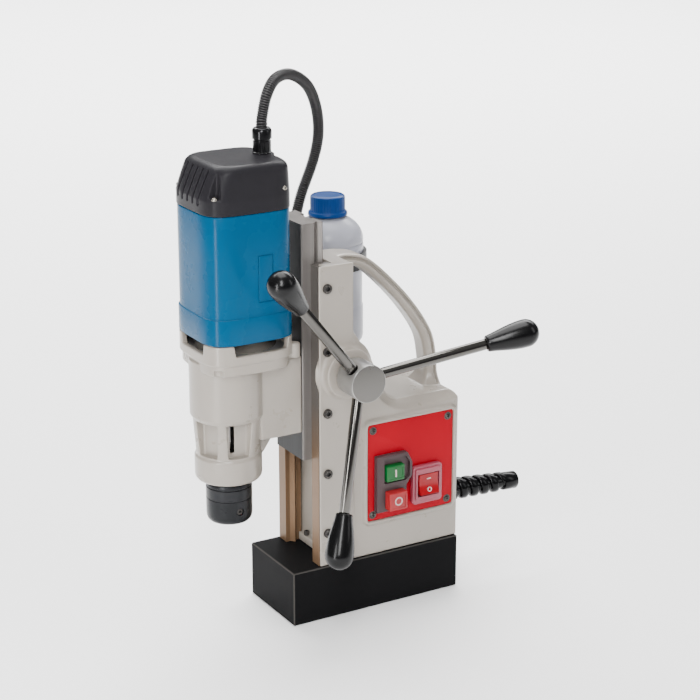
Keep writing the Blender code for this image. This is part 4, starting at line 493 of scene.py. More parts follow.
def rounded(corners, steps=8):
    """An outline from corners (across, up, radius)."""
    outline = []
    for i, (x, y, radius) in enumerate(corners):
        here = Vector((x, y))
        before = Vector(corners[i - 1][:2]) - here
        after = Vector(corners[(i + 1) % len(corners)][:2]) - here
        if not radius:
            outline.append(tuple(here))
            continue
        half = before.angle(after) / 2
        back = radius / math.tan(half)
        start, end = here + before.normalized() * back, here + after.normalized() * back
        middle = here + (before.normalized() + after.normalized()).normalized() * radius / math.sin(half)
        first, last = start - middle, end - middle
        turn = first.angle_signed(last)
        for step in range(steps + 1):
            spin = Matrix.Rotation(-turn * step / steps, 2)
            outline.append(tuple(middle + spin @ first))
    return outline


def rectangle(low_x, low_y, high_x, high_y, radius, steps=6):
    corners = ((low_x, low_y), (high_x, low_y), (high_x, high_y), (low_x, high_y))
    return rounded([(x, y, radius) for x, y in corners], steps)


def oblong(x, y, half_x, half_y, radius, steps=6):
    """A rectangle round its middle."""
    return rectangle(x - half_x, y - half_y, x + half_x, y + half_y, radius, steps)


def squarish(centre_x, centre_y, half_x, half_y, power=4.2, steps=144):
    """A square with bulged faces and round corners."""
    outline = []
    for i in range(steps):
        angle = FULL_TURN * (i + 0.5) / steps
        c, s = math.cos(angle), math.sin(angle)
        reach = 1 / (abs(c) ** power + abs(s) ** power) ** (1 / power)
        outline.append((centre_x + half_x * reach * c, centre_y + half_y * reach * s))
    return outline


def through(route, count):
    """Points on a smooth curve through the route, at even steps of its parameter."""
    route = [Vector(p) for p in route]
    ends = [route[0] * 2 - route[1]] + route + [route[-1] * 2 - route[-2]]
    points = []
    for step in range(count):
        position = step * (len(route) - 1) / (count - 1)
        i = min(int(position), len(route) - 2)
        t = position - i
        a, b, c, d = ends[i : i + 4]
        square, cube = 2 * a - 5 * b + 4 * c - d, 3 * b - a - 3 * c + d
        points.append(0.5 * (2 * b + (c - a) * t + square * t**2 + cube * t**3))
    return points


def evenly(points, gap):
    """The same line in steps of about the given length."""
    lengths = [0.0]
    for a, b in zip(points, points[1:]):
        lengths.append(lengths[-1] + (b - a).length)
    count = round(lengths[-1] / gap)
    made, i = [], 0
    for step in range(count + 1):
        want = lengths[-1] * step / count
        while i < len(points) - 2 and lengths[i + 1] < want:
            i += 1
        share = (want - lengths[i]) / (lengths[i + 1] - lengths[i])
        made.append(points[i].lerp(points[i + 1], share))
    return made


def sweep(name, points, radii, steps=20, section=None):
    """A round bar, or another section, along a line without twist."""
    section = section or [
        (math.cos(FULL_TURN * i / steps), math.sin(FULL_TURN * i / steps)) for i in range(steps)
    ]
    along, across, up = frame_at(points[1] - points[0])
    rings = []
    for i, point in enumerate(points):
        ahead = points[min(i + 1, len(points) - 1)] - points[max(i - 1, 0)]
        turn = along.rotation_difference(ahead.normalized())
        along, across, up = ahead.normalized(), turn @ across, turn @ up
        rings.append([point + (across * a + up * b) * radii[i] for a, b in section])
    return loft(name, rings)


def done(obj, body, slot, look, *nodes):
    """Gives a piece its look, its body and the frame nodes that it stands for."""
    finish(obj, look)
    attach(obj, body)
    if nodes:
        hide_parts(*nodes)
    return obj


make_camera()


# ---------------------------------------------------------------- base and stand

MAGNET_TOP = 50.0
SIDE = 38.0
COLUMN_FRONT, COLUMN_REAR, COLUMN_TOP = -57.5, -24.0, 323.0
BODY_REAR, BODY_TOP = 85.0, 190.0
FEED_X, FEED_Z = -32.0, 227.0
BOSS_RADIUS = 22.0
FACE_PROUD = 0.9
GIB_SCREW_X, GIB_SCREW_LOW, GIB_SCREW_PITCH, GIB_SCREWS = -50.0, 81.0, 55.5, 5
CHANNEL_HALF, CHANNEL_FLOOR, LIP_HALF = 29.95, -40.0, 36.7
PANEL = (-10.55, 83.4, 77.95, 173.4)  # low x, low z, high x, high z
PANEL_FRONT, PANEL_BACK = -39.8, -38.3
PANEL_RIM, PANEL_ROOM = 4.2, 0.4
GRIP_HALF_WIDTH, GRIP_HALF_THICK = 12.0, 5.5
MOTOR = (-117.0, 0.0)
SPINDLE = (-126.0, 0.0)


def carried(names, look, edge=0.0):
    """Frame nodes that are shown as they are, with their sharp edges broken."""
    for name in names.split():
        node = NODES[name]
        finish(node, look)
        if edge:
            bevel = node.modifiers.new("edges", "BEVEL")
            bevel.width = edge * MM
            bevel.segments = 2
            bevel.limit_method = "ANGLE"
            bevel.angle_limit = math.radians(40)


def socket_screw(name, head_radius, head_height, base, axis, socket_radius, shank=0.0):
    """A socket head cap screw: a turned head with a rounded rim and a hexagonal socket."""
    r, h = head_radius, head_height
    head = lathe(
        name,
        [(r * 0.93, -shank), (r, -shank + 0.2), (r, h - 0.5), (r - 0.15, h - 0.2), (r - 0.5, h), (0, h)],
        base,
        axis,
        48,
    )
    axis = Vector(axis).normalized()
    base = Vector(base)
    socket = rod("socket", socket_radius, base + axis * (h * 0.35), base + axis * (h + 1), 6)
    return smooth(cut(head, socket), 40)


def cross_screw(name, radius, height, base, axis, slot_half=0.35):
    """A round-headed screw with a cross recess."""
    profile = [(radius * 0.96, -0.6)]
    for step in range(7):
        angle = math.pi / 2 * step / 6
        profile.append((radius * math.cos(angle) ** 0.6, height * math.sin(angle)))
    head = lathe(name, profile, base, axis, 40)
    axis, across, up = frame_at(axis)
    base = Vector(base)
    for along, wide in ((across, up), (up, across)):
        low = base + axis * (height * 0.35)
        ring = [along * (radius * 0.62) + wide * slot_half, along * (radius * 0.62) - wide * slot_half]
        ring += [-p for p in ring]
        cutter = loft("slot", [[low + p * 0.7 for p in ring], [low + axis * height + p for p in ring]])
        cut(head, cutter)
    return smooth(head, 40)


def grip_line(count):
    """The middle line of the hand grip, in the XZ plane."""
    peak = COLUMN_TOP - 9.5
    drop = peak - BODY_TOP
    rear = BODY_REAR - 10.5
    reach = rear - COLUMN_REAR
    route = [
        (COLUMN_REAR - 4, 0, peak + 3.0),
        (COLUMN_REAR + reach * 0.10, 0, peak + 3.0),
        (COLUMN_REAR + reach * 0.28, 0, peak - drop * 0.02),
        (COLUMN_REAR + reach * 0.50, 0, peak - drop * 0.17),
        (COLUMN_REAR + reach * 0.74, 0, peak - drop * 0.38),
        (COLUMN_REAR + reach * 0.93, 0, peak - drop * 0.61),
        (rear - 1.2, 0, peak - drop * 0.80),
        (rear - 0.4, 0, peak - drop * 0.93),
        (rear, 0, BODY_TOP - 3),
    ]
    return through(route, count)


def grip():
    """The hand grip: a rounded band with a groove along each side and a flared root."""
    line = grip_line(90)
    rings = []
    for i, point in enumerate(line):
        ahead = (line[min(i + 1, len(line) - 1)] - line[max(i - 1, 0)]).normalized()
        out = Vector((-ahead.z, 0, ahead.x))
        low = min(1.0, max(0.0, (BODY_TOP + 15 - point.z) / 15))
        top = min(1.0, max(0.0, (COLUMN_REAR + 12 - point.x) / 12))
        flare = 7.0 * low**2 + 3.0 * top**2
        half_y = GRIP_HALF_WIDTH + flare * 0.9
        outer, inner = GRIP_HALF_THICK, GRIP_HALF_THICK + flare
        section = [
            (outer, half_y - 3.6), (outer - 0.5, half_y - 1.5), (outer - 1.3, half_y - 0.6),
            (outer - 2.3, half_y - 0.8), (outer - 2.7, half_y - 3.8), (outer - 4.5, half_y - 3.8),
            (outer - 4.9, half_y - 0.2), (outer - 5.8, half_y), (outer - 6.8, half_y - 0.4),
            (-inner + 1.2, half_y - 3.0), (-inner, half_y - 5.4),
        ]
        section += [(a, -b) for a, b in reversed(section)]
        rings.append([point + out * a + Vector((0, b, 0)) for a, b in section])
    return loft("grip", rings)


def around_panel(margin, radius, steps=6):
    """The panel's outline with a margin."""
    left, low, right, high = PANEL
    return rectangle(left - margin, low - margin, right + margin, high + margin, radius, steps)


def stand():
    """The casting: body, column, grip, feed boss and panel rim, then the five gib screws' heads."""
    foot = MAGNET_TOP + 0.3
    outline = rounded([
        (COLUMN_FRONT, foot, 0), (BODY_REAR, foot, 0), (BODY_REAR, BODY_TOP, 9), (16, BODY_TOP, 14),
        (FEED_X + BOSS_RADIUS + 2, FEED_Z + 11, 22), (COLUMN_REAR, FEED_Z + 35, 12),
        (COLUMN_REAR, COLUMN_TOP - 1, 2), (COLUMN_FRONT, COLUMN_TOP, 1),
    ])
    casting = prism("stand_casting_shape", outline, "XZ", -SIDE, SIDE, 2.4, 4)
    column_face = prism(
        "column_face", rectangle(COLUMN_FRONT, foot, COLUMN_REAR, COLUMN_TOP - 0.4, 0.8), "XZ",
        -SIDE - FACE_PROUD, -SIDE + 1.1, 0.4,
    )
    channel = block(
        "channel",
        (COLUMN_FRONT - 5, -CHANNEL_HALF, MAGNET_TOP - 1),
        (CHANNEL_FLOOR, CHANNEL_HALF, COLUMN_TOP + 2),
    )
    lips = block(
        "lips",
        (COLUMN_FRONT - 6, -LIP_HALF, MAGNET_TOP - 2),
        (COLUMN_FRONT + 3.8, LIP_HALF, COLUMN_TOP + 3),
    )
    cut(casting, channel, lips)
    boss = lathe(
        "boss",
        [(BOSS_RADIUS + 7, -3), (BOSS_RADIUS + 3, 0.6), (BOSS_RADIUS + 0.6, 3.2), (BOSS_RADIUS, 6),
         (BOSS_RADIUS, 8.2), (BOSS_RADIUS - 0.8, 9), (10, 9)],
        (FEED_X, -SIDE, FEED_Z), (0, -1, 0), 96,
    )
    rim = prism("rim", around_panel(PANEL_RIM, 8, 10), "XZ", -SIDE - 3.4, -SIDE + 2, 2.2, 4)
    join(casting, grip(), boss, rim, column_face)
    seat = prism("seat", around_panel(PANEL_ROOM, 2.2), "XZ", -SIDE - 4, -SIDE + 0.1)
    scoops = []
    for side in (-1, 1):
        route = [
            (6, 47, 236), (10, 46, 205), (26, 44.5, 193.5), (52, 44.2, 192.5), (80, 44.6, 194.5), (100, 46, 197),
        ]
        line = through([(x, side * y, z) for x, y, z in route], 30)
        scoops.append(sweep("scoop", line, [13.0] * len(line), 28))
    bore = rod("bore", 9.5, (FEED_X, -60, FEED_Z), (FEED_X, -20, FEED_Z))
    cut(casting, seat, *scoops, bore)
    lug = block("lug", (-45, -24, MAGNET_TOP + 0.5), (-38, 24, MAGNET_TOP + 8))
    join(casting, lug)
    as_cast(casting, 0.85, 2)
    done(casting, "stand", "cast_paint", CAST, "stand_casting")

    for number in range(GIB_SCREWS):
        place = (GIB_SCREW_X, -SIDE - FACE_PROUD, GIB_SCREW_LOW + GIB_SCREW_PITCH * number)
        screw = socket_screw(f"gib_screw_head_{number + 1}", 4.2, 2.0, place, (0, -1, 0), 2.3, 3.0)
        done(screw, "stand", "black_screw", SCREW_BLACK, f"gib_screw_{number + 1}")


def base():
    carried("magnet_body", MAGNET_BLACK, 0.7)
    carried("magnet_coil", COPPER)
    carried("coil_seal", EPOXY)
    carried("gib_near gib_far", GIB_BRONZE, 0.35)
    carried("bush_near bush_far", GIB_BRONZE)
    carried("foot_bolt_left foot_bolt_right", SCREW_BLACK, 0.15)
    carried("control_board", BOARD)
    carried("strain_relief_nut", RELIEF)


# ---------------------------------------------------------------- slide and feed


def slide():
    carried("slide", SLIDE_STEEL, 0.4)
    carried("feed_rack", STEEL)


HUB_MIDDLE = Vector((FEED_X, -63.0, FEED_Z))
SPOKES = (12, 132, 252)
SPOKE_LEAN = math.radians(16)


def spoke_direction(degrees):
    level, angle = math.cos(SPOKE_LEAN), math.radians(degrees)
    return Vector((level * math.cos(angle), -math.sin(SPOKE_LEAN), level * math.sin(angle)))


def feed_wheel():
    """The hub with its three spokes, and a knob on each."""
    hub = lathe(
        "hub_turned",
        [(7.2, -30), (11.5, -30), (14.2, -29.2), (16.0, -26.5), (16.5, -22.5), (16.5, -0.7), (16.38, -0.3),
         (16.1, -0.06), (15.8, 0), (0, 0)],
        (FEED_X, -78, FEED_Z), (0, -1, 0), 128,
    )
    for degrees in SPOKES:
        along = spoke_direction(degrees)
        cut(hub, lathe("dimple", [(5.2, 12), (5.2, 16.0), (6.8, 19)], HUB_MIDDLE, along, 40))
    smooth(hub, 32)
    done(hub, "feed_wheel", "satin_aluminium", HUB, "feed_hub")
    for number, degrees in enumerate(SPOKES, 1):
        along = spoke_direction(degrees)
        profile = [(4.75, 10.5), (4.75, 119.4), (4.2, 120.2)]
        spoke = lathe(f"spoke_rod_{number}", profile, HUB_MIDDLE, along, 48)
        done(smooth(spoke, 40), "feed_wheel", "chrome_rod", CHROME, f"feed_spoke_{number}")
        knob(number, along)
    carried("pinion_shaft", STEEL)


def knob(number, along):
    """A ball-ended grip: a long cone that grows into its ball without an edge."""
    ball, middle, small, start = 12.2, 148.8, 7.2, 113.5
    profile = [(5.1, start), (small - 1.4, start), (small - 0.5, start + 0.3), (small, start + 1.1)]
    side_steps, ball_steps = 24, 18
    for step in range(1, side_steps + 1):
        share = step / side_steps
        along_here = start + 1.1 + share * (middle - start - 1.1)
        profile.append((small + (ball - small) * math.sin(share * math.pi / 2) ** 1.25, along_here))
    for step in range(1, ball_steps + 1):
        angle = math.pi / 2 * step / ball_steps
        profile.append((ball * math.cos(angle), middle + ball * math.sin(angle)))
    made = lathe(f"ball_knob_{number}", profile, HUB_MIDDLE, along, 72)
    done(smooth(made, 40), "feed_wheel", "knob_black", KNOB, f"spoke_knob_{number}")


# ---------------------------------------------------------------- drive head

FLANGE_LOW, FLANGE_TOP = 239.5, 266.5
HALF_MOTOR = 40.9
LAYSHAFT = (-108.163, 15.681)
GEARS_LOW, GEARS_TOP = 233.5, 252.6
LUG_X, LUG_Y = -77.4, 30.5
WINDOWS, FIRST_WINDOW, SLIT_WINDOWS = 6, -96, (0, 3)  # the first window's place in degrees
BRACKET_HALF_ANGLE = 0.7  # no window is cut where the bracket joins the cone
SLIT_TURN = 0.20


def gearbox():
    """The gear housing in one casting: nose, ribbed cone, barrel, motor flange, bracket and two lugs."""
    base = (SPINDLE[0], 0, 0)
    housing = lathe(
        "gearbox_shape",
        [(13.7, 137), (25.2, 137), (27.2, 137.8), (28.5, 139.6), (29, 142), (29, 158.6), (28.4, 159.8),
         (27.6, 160.4), (30.4, 193.8), (31.3, 195.2), (32, 196.4), (32, 246), (18.3, 246), (18.3, 140),
         (13.7, 140)],
        base, steps=160, loop=True,
    )
    flange_low = prism("flange_low", squarish(*MOTOR, 39.0, 39.0), "XY", FLANGE_LOW + 0.2, 253, 1.0, 3)
    flange_high = prism("flange_high", squarish(*MOTOR, 40.85, 40.85), "XY", 249.2, FLANGE_TOP, 0.5, 2)
    bracket = prism(
        "bracket", rectangle(SPINDLE[0] + 20, -24, -66.6, 24, 1.2), "XY", 173.0, FLANGE_LOW + 3, 1.0
    )
    gusset = prism(
        "gusset", [(-102, 180), (-102, 155), (-97.5, 158), (-87, 173.5), (-87, 180)], "XZ", -12, 12, 1.0
    )
    lugs = [
        lathe("lug", [(5.2, 246), (5.2, 257), (4.4, 258), (3, 258.3)], (LUG_X, y, 0), steps=40)
        for y in (-LUG_Y, LUG_Y)
    ]
    join(housing, flange_low, flange_high, bracket, gusset, *lugs)

    cutters = []
    for number in range(WINDOWS):
        angle = math.radians(FIRST_WINDOW + 360 // WINDOWS * number)
        if abs(math.atan2(math.sin(angle), math.cos(angle))) < BRACKET_HALF_ANGLE:
            continue
        cutters.append(cone_window(angle))
        if number in SLIT_WINDOWS:
            cutters.append(sleeve_slit(angle - SLIT_TURN))
    cutters.append(prism("fan_room", squarish(*MOTOR, 35.9, 35.9), "XY", 252.4, FLANGE_TOP + 2))
    for name, radius, (x, y), low, steps in (
        ("gear_room", 20.5, SPINDLE, GEARS_LOW, 72),
        ("lay_room", 15.6, LAYSHAFT, GEARS_LOW, 72),
        ("pinion_room", 7.5, MOTOR, 243, 48),
    ):
        cutters.append(rod(name, radius, (x, y, low), (x, y, GEARS_TOP), steps))
    cut(housing, *cutters)
    low, high, half = FLANGE_TOP - 9.5, FLANGE_TOP + 2, HALF_MOTOR
    front = prism(
        "slot_x", [(-19.5, low), (19.5, low), (21.5, high), (-21.5, high)], "YZ",
        MOTOR[0] - half - 3, MOTOR[0] + half + 3,
    )
    side = prism(
        "slot_y",
        [(MOTOR[0] - 19.5, low), (MOTOR[0] + 29, low), (MOTOR[0] + 31, high), (MOTOR[0] - 21.5, high)],
        "XZ", -half - 3, half + 3,
    )
    notch = lathe("notch", [(4.2, 236), (4.2, 245.5)], (MOTOR[0] - 33.6, -33.6, 0), steps=40)
    cut(housing, front, side, notch)
    as_cast(housing, 0.62, 2)
    done(housing, "carriage", "cast_paint", CAST, "gearbox_housing")

    shroud = lathe(
        "fan_shroud",
        [(35.2, 254.0), (35.2, 255.6), (32.2, 259.0), (30.4, 263.0), (29.6, 263.0), (29.6, 254.0)],
        (MOTOR[0], 0, 0), steps=96, loop=True,
    )
    smooth(shroud, 40)
    done(shroud, "carriage", "cast_paint", SHROUD)


def sleeve_slit(angle):
    """A cutter for the narrow opening in the inner sleeve behind a cone window."""
    out = Vector((math.cos(angle), math.sin(angle), 0))
    across = Vector((-out.y, out.x, 0))
    ring = [(15.0, -2.0), (27.0, -2.0), (27.0, 2.0), (15.0, 2.0)]
    base = Vector((SPINDLE[0], 0, 0))
    rings = [[base + out * r + across * w + Vector((0, 0, z)) for r, w in ring] for z in (165.5, 190.5)]
    return loft("slit", rings)


def cone_window(angle):
    """A cutter for one tapered opening in the cone, between two ribs."""
    rings = []
    for z, half_low in ((162.2, 10.6), (193.0, 12.4)):
        ring = []
        for radius, half in ((22.6, half_low * 0.80), (40.0, half_low * 1.18)):
            for sign in (-1, 1) if radius < 30 else (1, -1):
                here = angle + sign * half / radius
                ring.append((SPINDLE[0] + radius * math.cos(here), radius * math.sin(here), z))
        rings.append(ring)
    return soften(loft("window", rings), 1.2, 3, 30)


def arbor():
    """The arbor holder with its grooves, and the two set screws that hold a cutter."""
    bottom, screw_height = 98.0, 110
    holder = lathe(
        "arbor_shape",
        [(9.525, bottom + 0.8), (10.3, bottom), (15.6, bottom), (17.6, bottom + 0.7), (19.0, bottom + 2.3),
         (19.8, bottom + 4.6), (20, bottom + 7.5), (20, 119.2), (19.65, 119.5), (19.65, 119.9), (20, 120.2),
         (20, 129.4), (19.4, 129.8), (19.4, 130.5), (20, 130.9), (20, 133.2), (19.5, 134.2), (18.6, 134.6),
         (18.6, 136.7), (12.7, 136.7), (12.7, 154.3), (11.5, 154.3), (11.5, 150.5), (9.525, 149)],
        (SPINDLE[0], 0, 0), steps=128, loop=True,
    )
    centre = Vector((SPINDLE[0], 0, screw_height))
    for degrees, name, nodes in (
        (-88, "arbor_screw_near", ("arbor_screw_1",)),
        (92, "arbor_screw_far", ()),
    ):
        out = Vector((math.cos(math.radians(degrees)), math.sin(math.radians(degrees)), 0))
        cut(holder, rod("screw_seat", 3.35, centre + out * 17.2, centre + out * 24))
        cut(holder, rod("screw_hole", 3.1, centre + out * 5, centre + out * 18, 32))
        screw = socket_screw(name, 3.05, 1.4, centre + out * 17.6, out, 1.5, 6.6)
        done(screw, "spindle", "steel", SCREW_BLACK, *nodes)
    done(smooth(holder, 32), "spindle", "arbor_black", ARBOR, "arbor_holder")


def motor():
    """The motor's shell with its lower band and the blank label frame, and the dark seam under the cap."""
    centre, half, inner, wall = MOTOR, HALF_MOTOR, HALF_MOTOR - 1.0, 2.8
    heights = [
        (266.8, half - 0.9), (267.1, half - 0.3), (267.7, half), (288.2, half), (289.0, half - 0.2),
        (289.4, half - 0.6), (289.6, half - 1.0), (290.2, inner - 0.05), (300, inner), (340, inner),
        (374.6, inner), (375.3, inner - 0.25), (375.7, inner - 0.8),
    ]
    rings = [[(x, y, z) for x, y in squarish(*centre, size, size)] for z, size in heights]
    rings += [
        [(x, y, z) for x, y in squarish(*centre, inner - wall, inner - wall)] for z in (375.7, 266.8)
    ]
    shell = loft("motor_shell", rings, loop=True)
    outer = rectangle(-115.2, 300.6, -100.8, 341.0, 1.0)
    inner_frame = rectangle(-114.2, 301.6, -101.8, 340.0, 0.7)
    cut(shell, prism("frame_out", outer, "XZ", -half - 2, -half + 1.75))
    join(shell, prism("frame_in", inner_frame, "XZ", -half + 1.15, -half + 2.6, 0.3))
    done(smooth(shell, 28), "carriage", "motor_blue", BLUE, "motor_housing")
    seam = loft(
        "cap_seam",
        [[(x, y, z) for x, y in squarish(*centre, size, size)] for z, size in
         ((375.2, 38.4), (376.6, 38.4), (376.6, 36.9), (375.2, 36.9))],
        loop=True,
    )
    done(smooth(seam), "carriage", "cap_black", DARK_INSIDE)


CAP_LOW, CAP_SHOULDER, CAP_TOP = 376.0, 388.0, 415.5
CAP_SLOPE, CAP_ROUND = 10.5, 6.5
CAP_SCREW_INSET = HALF_MOTOR - 1.0 - 6.4
VENTS, VENT_FIRST, VENT_PITCH, VENT_LEAN = 5, -17.5, 9.4, 0.10
FRONT_SCREW_Z, SIDE_SCREW_Z, SIDE_SCREW_BACK = 390.0, 393.5, 4.6
GLAND_X, GLAND_Y = -88.0, 2.0


def cap_section(z):
    """The end cap's outline at one height: sloped at its front, and rounded over at the top."""
    half = HALF_MOTOR - 1.0
    low, high = MOTOR[0] - half, MOTOR[0] + half
    share = max(0.0, (z - CAP_SHOULDER) / (CAP_TOP - CAP_SHOULDER))
    low += CAP_SLOPE * share**1.15
    high -= 1.6 * share
    wide = half - 1.5 * share
    near_top = max(0.0, z - (CAP_TOP - CAP_ROUND))
    inset = CAP_ROUND - math.sqrt(max(0.0, CAP_ROUND**2 - near_top**2))
    low, high, wide = low + inset * 0.8, high - inset, wide - inset
    return [(x, y, z) for x, y in squarish((low + high) / 2, 0, (high - low) / 2, wide, 4.6)]


def vent(number):
    """A cutter for one leaning slot in the cap's sloped front."""
    slope = math.atan2(CAP_SLOPE, CAP_TOP - CAP_SHOULDER)
    out = Vector((-math.cos(slope), 0, math.sin(slope)))
    along = Vector((math.sin(slope), 0, math.cos(slope)))
    y = VENT_FIRST + VENT_PITCH * number
    rings = []
    for depth in (-2.4, 10.0):
        ring = []
        for across, up in ((-1.5, -16), (1.5, -16), (1.5, 14), (-1.5, 14)):
            ring.append(Vector((-152.4, y + across - VENT_LEAN * up, 398.5)) + out * depth + along * up)
        rings.append(ring)
    return soften(loft("vent", rings), 0.9, 2)


def front_pocket(x, y, side):
    """A cutter for the open pocket round a front screw, which widens a little towards its top."""
    near, far = y - side * 4.4, y + side * 14
    outline = [(x + 4.6, near), (x + 4.6, far), (x - 14, far), (x - 14, near)]
    rings = [[(a + lean, b, z) for a, b in outline] for z, lean in ((FRONT_SCREW_Z, 0.0), (425.0, 2.0))]
    return soften(loft("pocket", rings), 1.6, 3)


def cap():
    """The end cap with its vents, its four screws and the gland's seat."""
    heights = [
        CAP_LOW, 377, 382, CAP_SHOULDER, 392, 396, 400, 404, 407, 409, 410.5, 412, 413.2, 414.2, 414.9, 415.3,
        CAP_TOP,
    ]
    shape = loft("cap_shape", [cap_section(z) for z in heights])
    cutters = [prism("room", squarish(*MOTOR, 31, 31), "XY", CAP_LOW - 1, 402)]
    corners = [
        (MOTOR[0] + along * CAP_SCREW_INSET, side * CAP_SCREW_INSET, along, side)
        for along in (-1, 1)
        for side in (-1, 1)
    ]
    for x, y, along, side in corners:
        if along < 0:
            cutters.append(front_pocket(x, y, side))
        else:
            start = (x - SIDE_SCREW_BACK, side * 37.6, SIDE_SCREW_Z)
            cutters.append(rod("pocket", 2.6, start, (x - SIDE_SCREW_BACK, side * 42, SIDE_SCREW_Z), 24))
    cut(shape, *cutters, *(vent(number) for number in range(VENTS)))
    seat = lathe(
        "gland_seat", [(10.5, 412), (10.0, 415.2), (9.2, 415.5), (2, 415.5)], (GLAND_X, GLAND_Y, 0), steps=64
    )
    join(shape, seat)
    as_cast(shape, 0.62, 2)
    done(shape, "carriage", "cap_black", CAP_BLACK, "end_cap")
    for number, (x, y, along, side) in enumerate(corners, 1):
        name = f"cap_screw_{number}"
        if along < 0:
            screw = cross_screw(name, 2.8, 1.8, (x - along * 0.8, y - side * 0.8, FRONT_SCREW_Z), (0, 0, 1))
        else:
            base = (x - SIDE_SCREW_BACK, side * 37.0, SIDE_SCREW_Z)
            screw = cross_screw(name, 2.0, 1.2, base, (0, side, 0), 0.25)
        done(screw, "carriage", "steel", SCREW_BRIGHT)


def inner_pieces():
    carried("stator armature_core commutator", COPPER)
    carried("brush_ring cooling_fan", STRAP)
    carried("armature_shaft layshaft layshaft_gear spindle spindle_gear", STEEL)
    carried("rotor_bearing_lower rotor_bearing_upper", STEEL)
    carried("spindle_bearing_lower spindle_bearing_upper", STEEL)
    carried("bearing_plate", HUB)


# ---------------------------------------------------------------- conduit

CONDUIT_ROUTE = [
    (-88.0, 2.0, 437.3), (-87.4, 2.3, 445.0), (-81.5, 4.5, 463.0), (-69.2, 12.0, 473.7),
    (-49.7, 22.0, 474.2), (-28.0, 32.8, 461.5), (-14.8, 41.0, 440.5), (-10.2, 45.4, 416.0),
    (-14.0, 48.2, 392.0), (-26.0, 50.0, 360.0), (-33.0, 50.0, 330.0), (-36.5, 49.5, 290.0),
    (-36.5, 49.0, 245.0), (-33.0, 48.7, 208.0), (-31.0, 48.5, 184.3),
]
CONDUIT_RADIUS = 4.95
RIB_PITCH = 1.9
RIB_DEPTHS = (0.0, -0.15, -1.0, -0.15)


def conduit():
    """The ribbed tube from the gland to the elbow."""
    line = evenly(through(CONDUIT_ROUTE, 400), RIB_PITCH / len(RIB_DEPTHS))
    radii = [CONDUIT_RADIUS + RIB_DEPTHS[i % len(RIB_DEPTHS)] for i in range(len(line))]
    tube = sweep("conduit_tube", line, radii, 22)
    smooth(tube, 60)
    finish(tube, CONDUIT)
    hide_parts("wiring_conduit")
    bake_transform(tube)


def gland():
    """The conduit's fitting on the end cap, with a fluted collar."""
    low, flutes = 416.0, 12
    body = lathe(
        "gland_shape",
        [(4.9, low), (8.0, low), (8.0, low + 0.5), (7.6, low + 0.8), (7.6, low + 9.6), (7.0, low + 10.2),
         (7.0, low + 11.0), (8.3, low + 11.8), (8.3, low + 18.2), (7.9, low + 19.4), (7.0, low + 20.5),
         (6.2, low + 21.0), (5.1, low + 21.0), (5.1, low + 12)],
        (GLAND_X, GLAND_Y, 0), steps=96, loop=True,
    )
    for number in range(flutes):
        angle = FULL_TURN * (number + 0.5) / flutes
        x, y = GLAND_X + 8.0 * math.cos(angle), GLAND_Y + 8.0 * math.sin(angle)
        cut(body, rod("flute", 0.95, (x, y, low + 1.4), (x, y, low + 9.2), 12))
    smooth(body, 35)
    done(body, "carriage", "conduit_black", GLAND, "conduit_gland")


def elbow():
    """The conduit's fitting on the stand's far wall: a quarter bend, a nut and a collar."""
    wall, middle_y, x, z, top, bend = SIDE + 0.3, 48.8, -31.0, 168.0, 184.0, 10.0
    line = [Vector((x, middle_y, top - 0.3)), Vector((x, middle_y, z + bend + 1))]
    for step in range(13):
        angle = math.pi / 2 * step / 12
        line.append(Vector((x, middle_y - bend + bend * math.cos(angle), z + bend - bend * math.sin(angle))))
    line.append(Vector((x, wall, z)))
    line = evenly(line, 1.0)
    body = sweep("elbow_shape", line, [6.9] * len(line), 48)
    corners = [FULL_TURN * i / 6 for i in range(6)]
    hexagon = [(x + 9.2 * math.cos(angle), z + 9.2 * math.sin(angle)) for angle in corners]
    nut = prism("nut", hexagon, "XZ", wall, wall + 4.4, 0.5)
    collar = lathe("collar", [(7.1, 176), (7.1, 183.2), (6.6, 183.7), (2, 183.7)], (x, middle_y, 0), steps=64)
    join(body, nut, collar)
    smooth(body, 35)
    done(body, "stand", "conduit_black", GLAND, "conduit_elbow")


# ---------------------------------------------------------------- panel

SWITCH_X, START_Z, STOP_Z = 13.5, 127.7, 103.0
KEY_HALF, START_HALF, STOP_HALF = 9.1, 7.3, 8.5
START_FRONT, STOP_FRONT = PANEL_FRONT - 9.0, PANEL_FRONT - 14.0
ROCKER_X, ROCKER_Z = 49.0, 109.4
BEZEL_FRONT = PANEL_FRONT - 6.5
BODY_BACK = -21.8


def panel():
    """The red plate with its four screws and their washers."""
    plate = prism("panel_face", rectangle(*PANEL, 2.0), "XZ", PANEL_FRONT, PANEL_BACK, 0.25)
    switch_hole = block("hole", (1.9, -42, 93), (25.1, -37, 137.5))
    rocker_hole = block("hole", (36.6, -42, 97.4), (61.4, -37, 121.4))
    cut(plate, switch_hole, rocker_hole)
    done(smooth(plate), "stand", "red_panel", RED, "panel_plate")
    number = 0
    for x in (PANEL[0] + 5.5, PANEL[2] - 5.5):
        for z in (PANEL[1] + 5.5, PANEL[3] - 5.5):
            number += 1
            screw = cross_screw(f"panel_screw_{number}", 2.9, 1.5, (x, PANEL_FRONT, z), (0, -1, 0), 0.38)
            done(screw, "stand", "steel", SCREW_DARK)
            washer = lathe(
                f"panel_washer_{number}",
                [(2.0, -0.3), (3.7, -0.3), (3.7, 0.25), (3.4, 0.45), (2.0, 0.45)],
                (x, PANEL_FRONT, z), (0, -1, 0), 48, True,
            )
            done(smooth(washer), "stand", "black_screw", SCREW_BLACK)


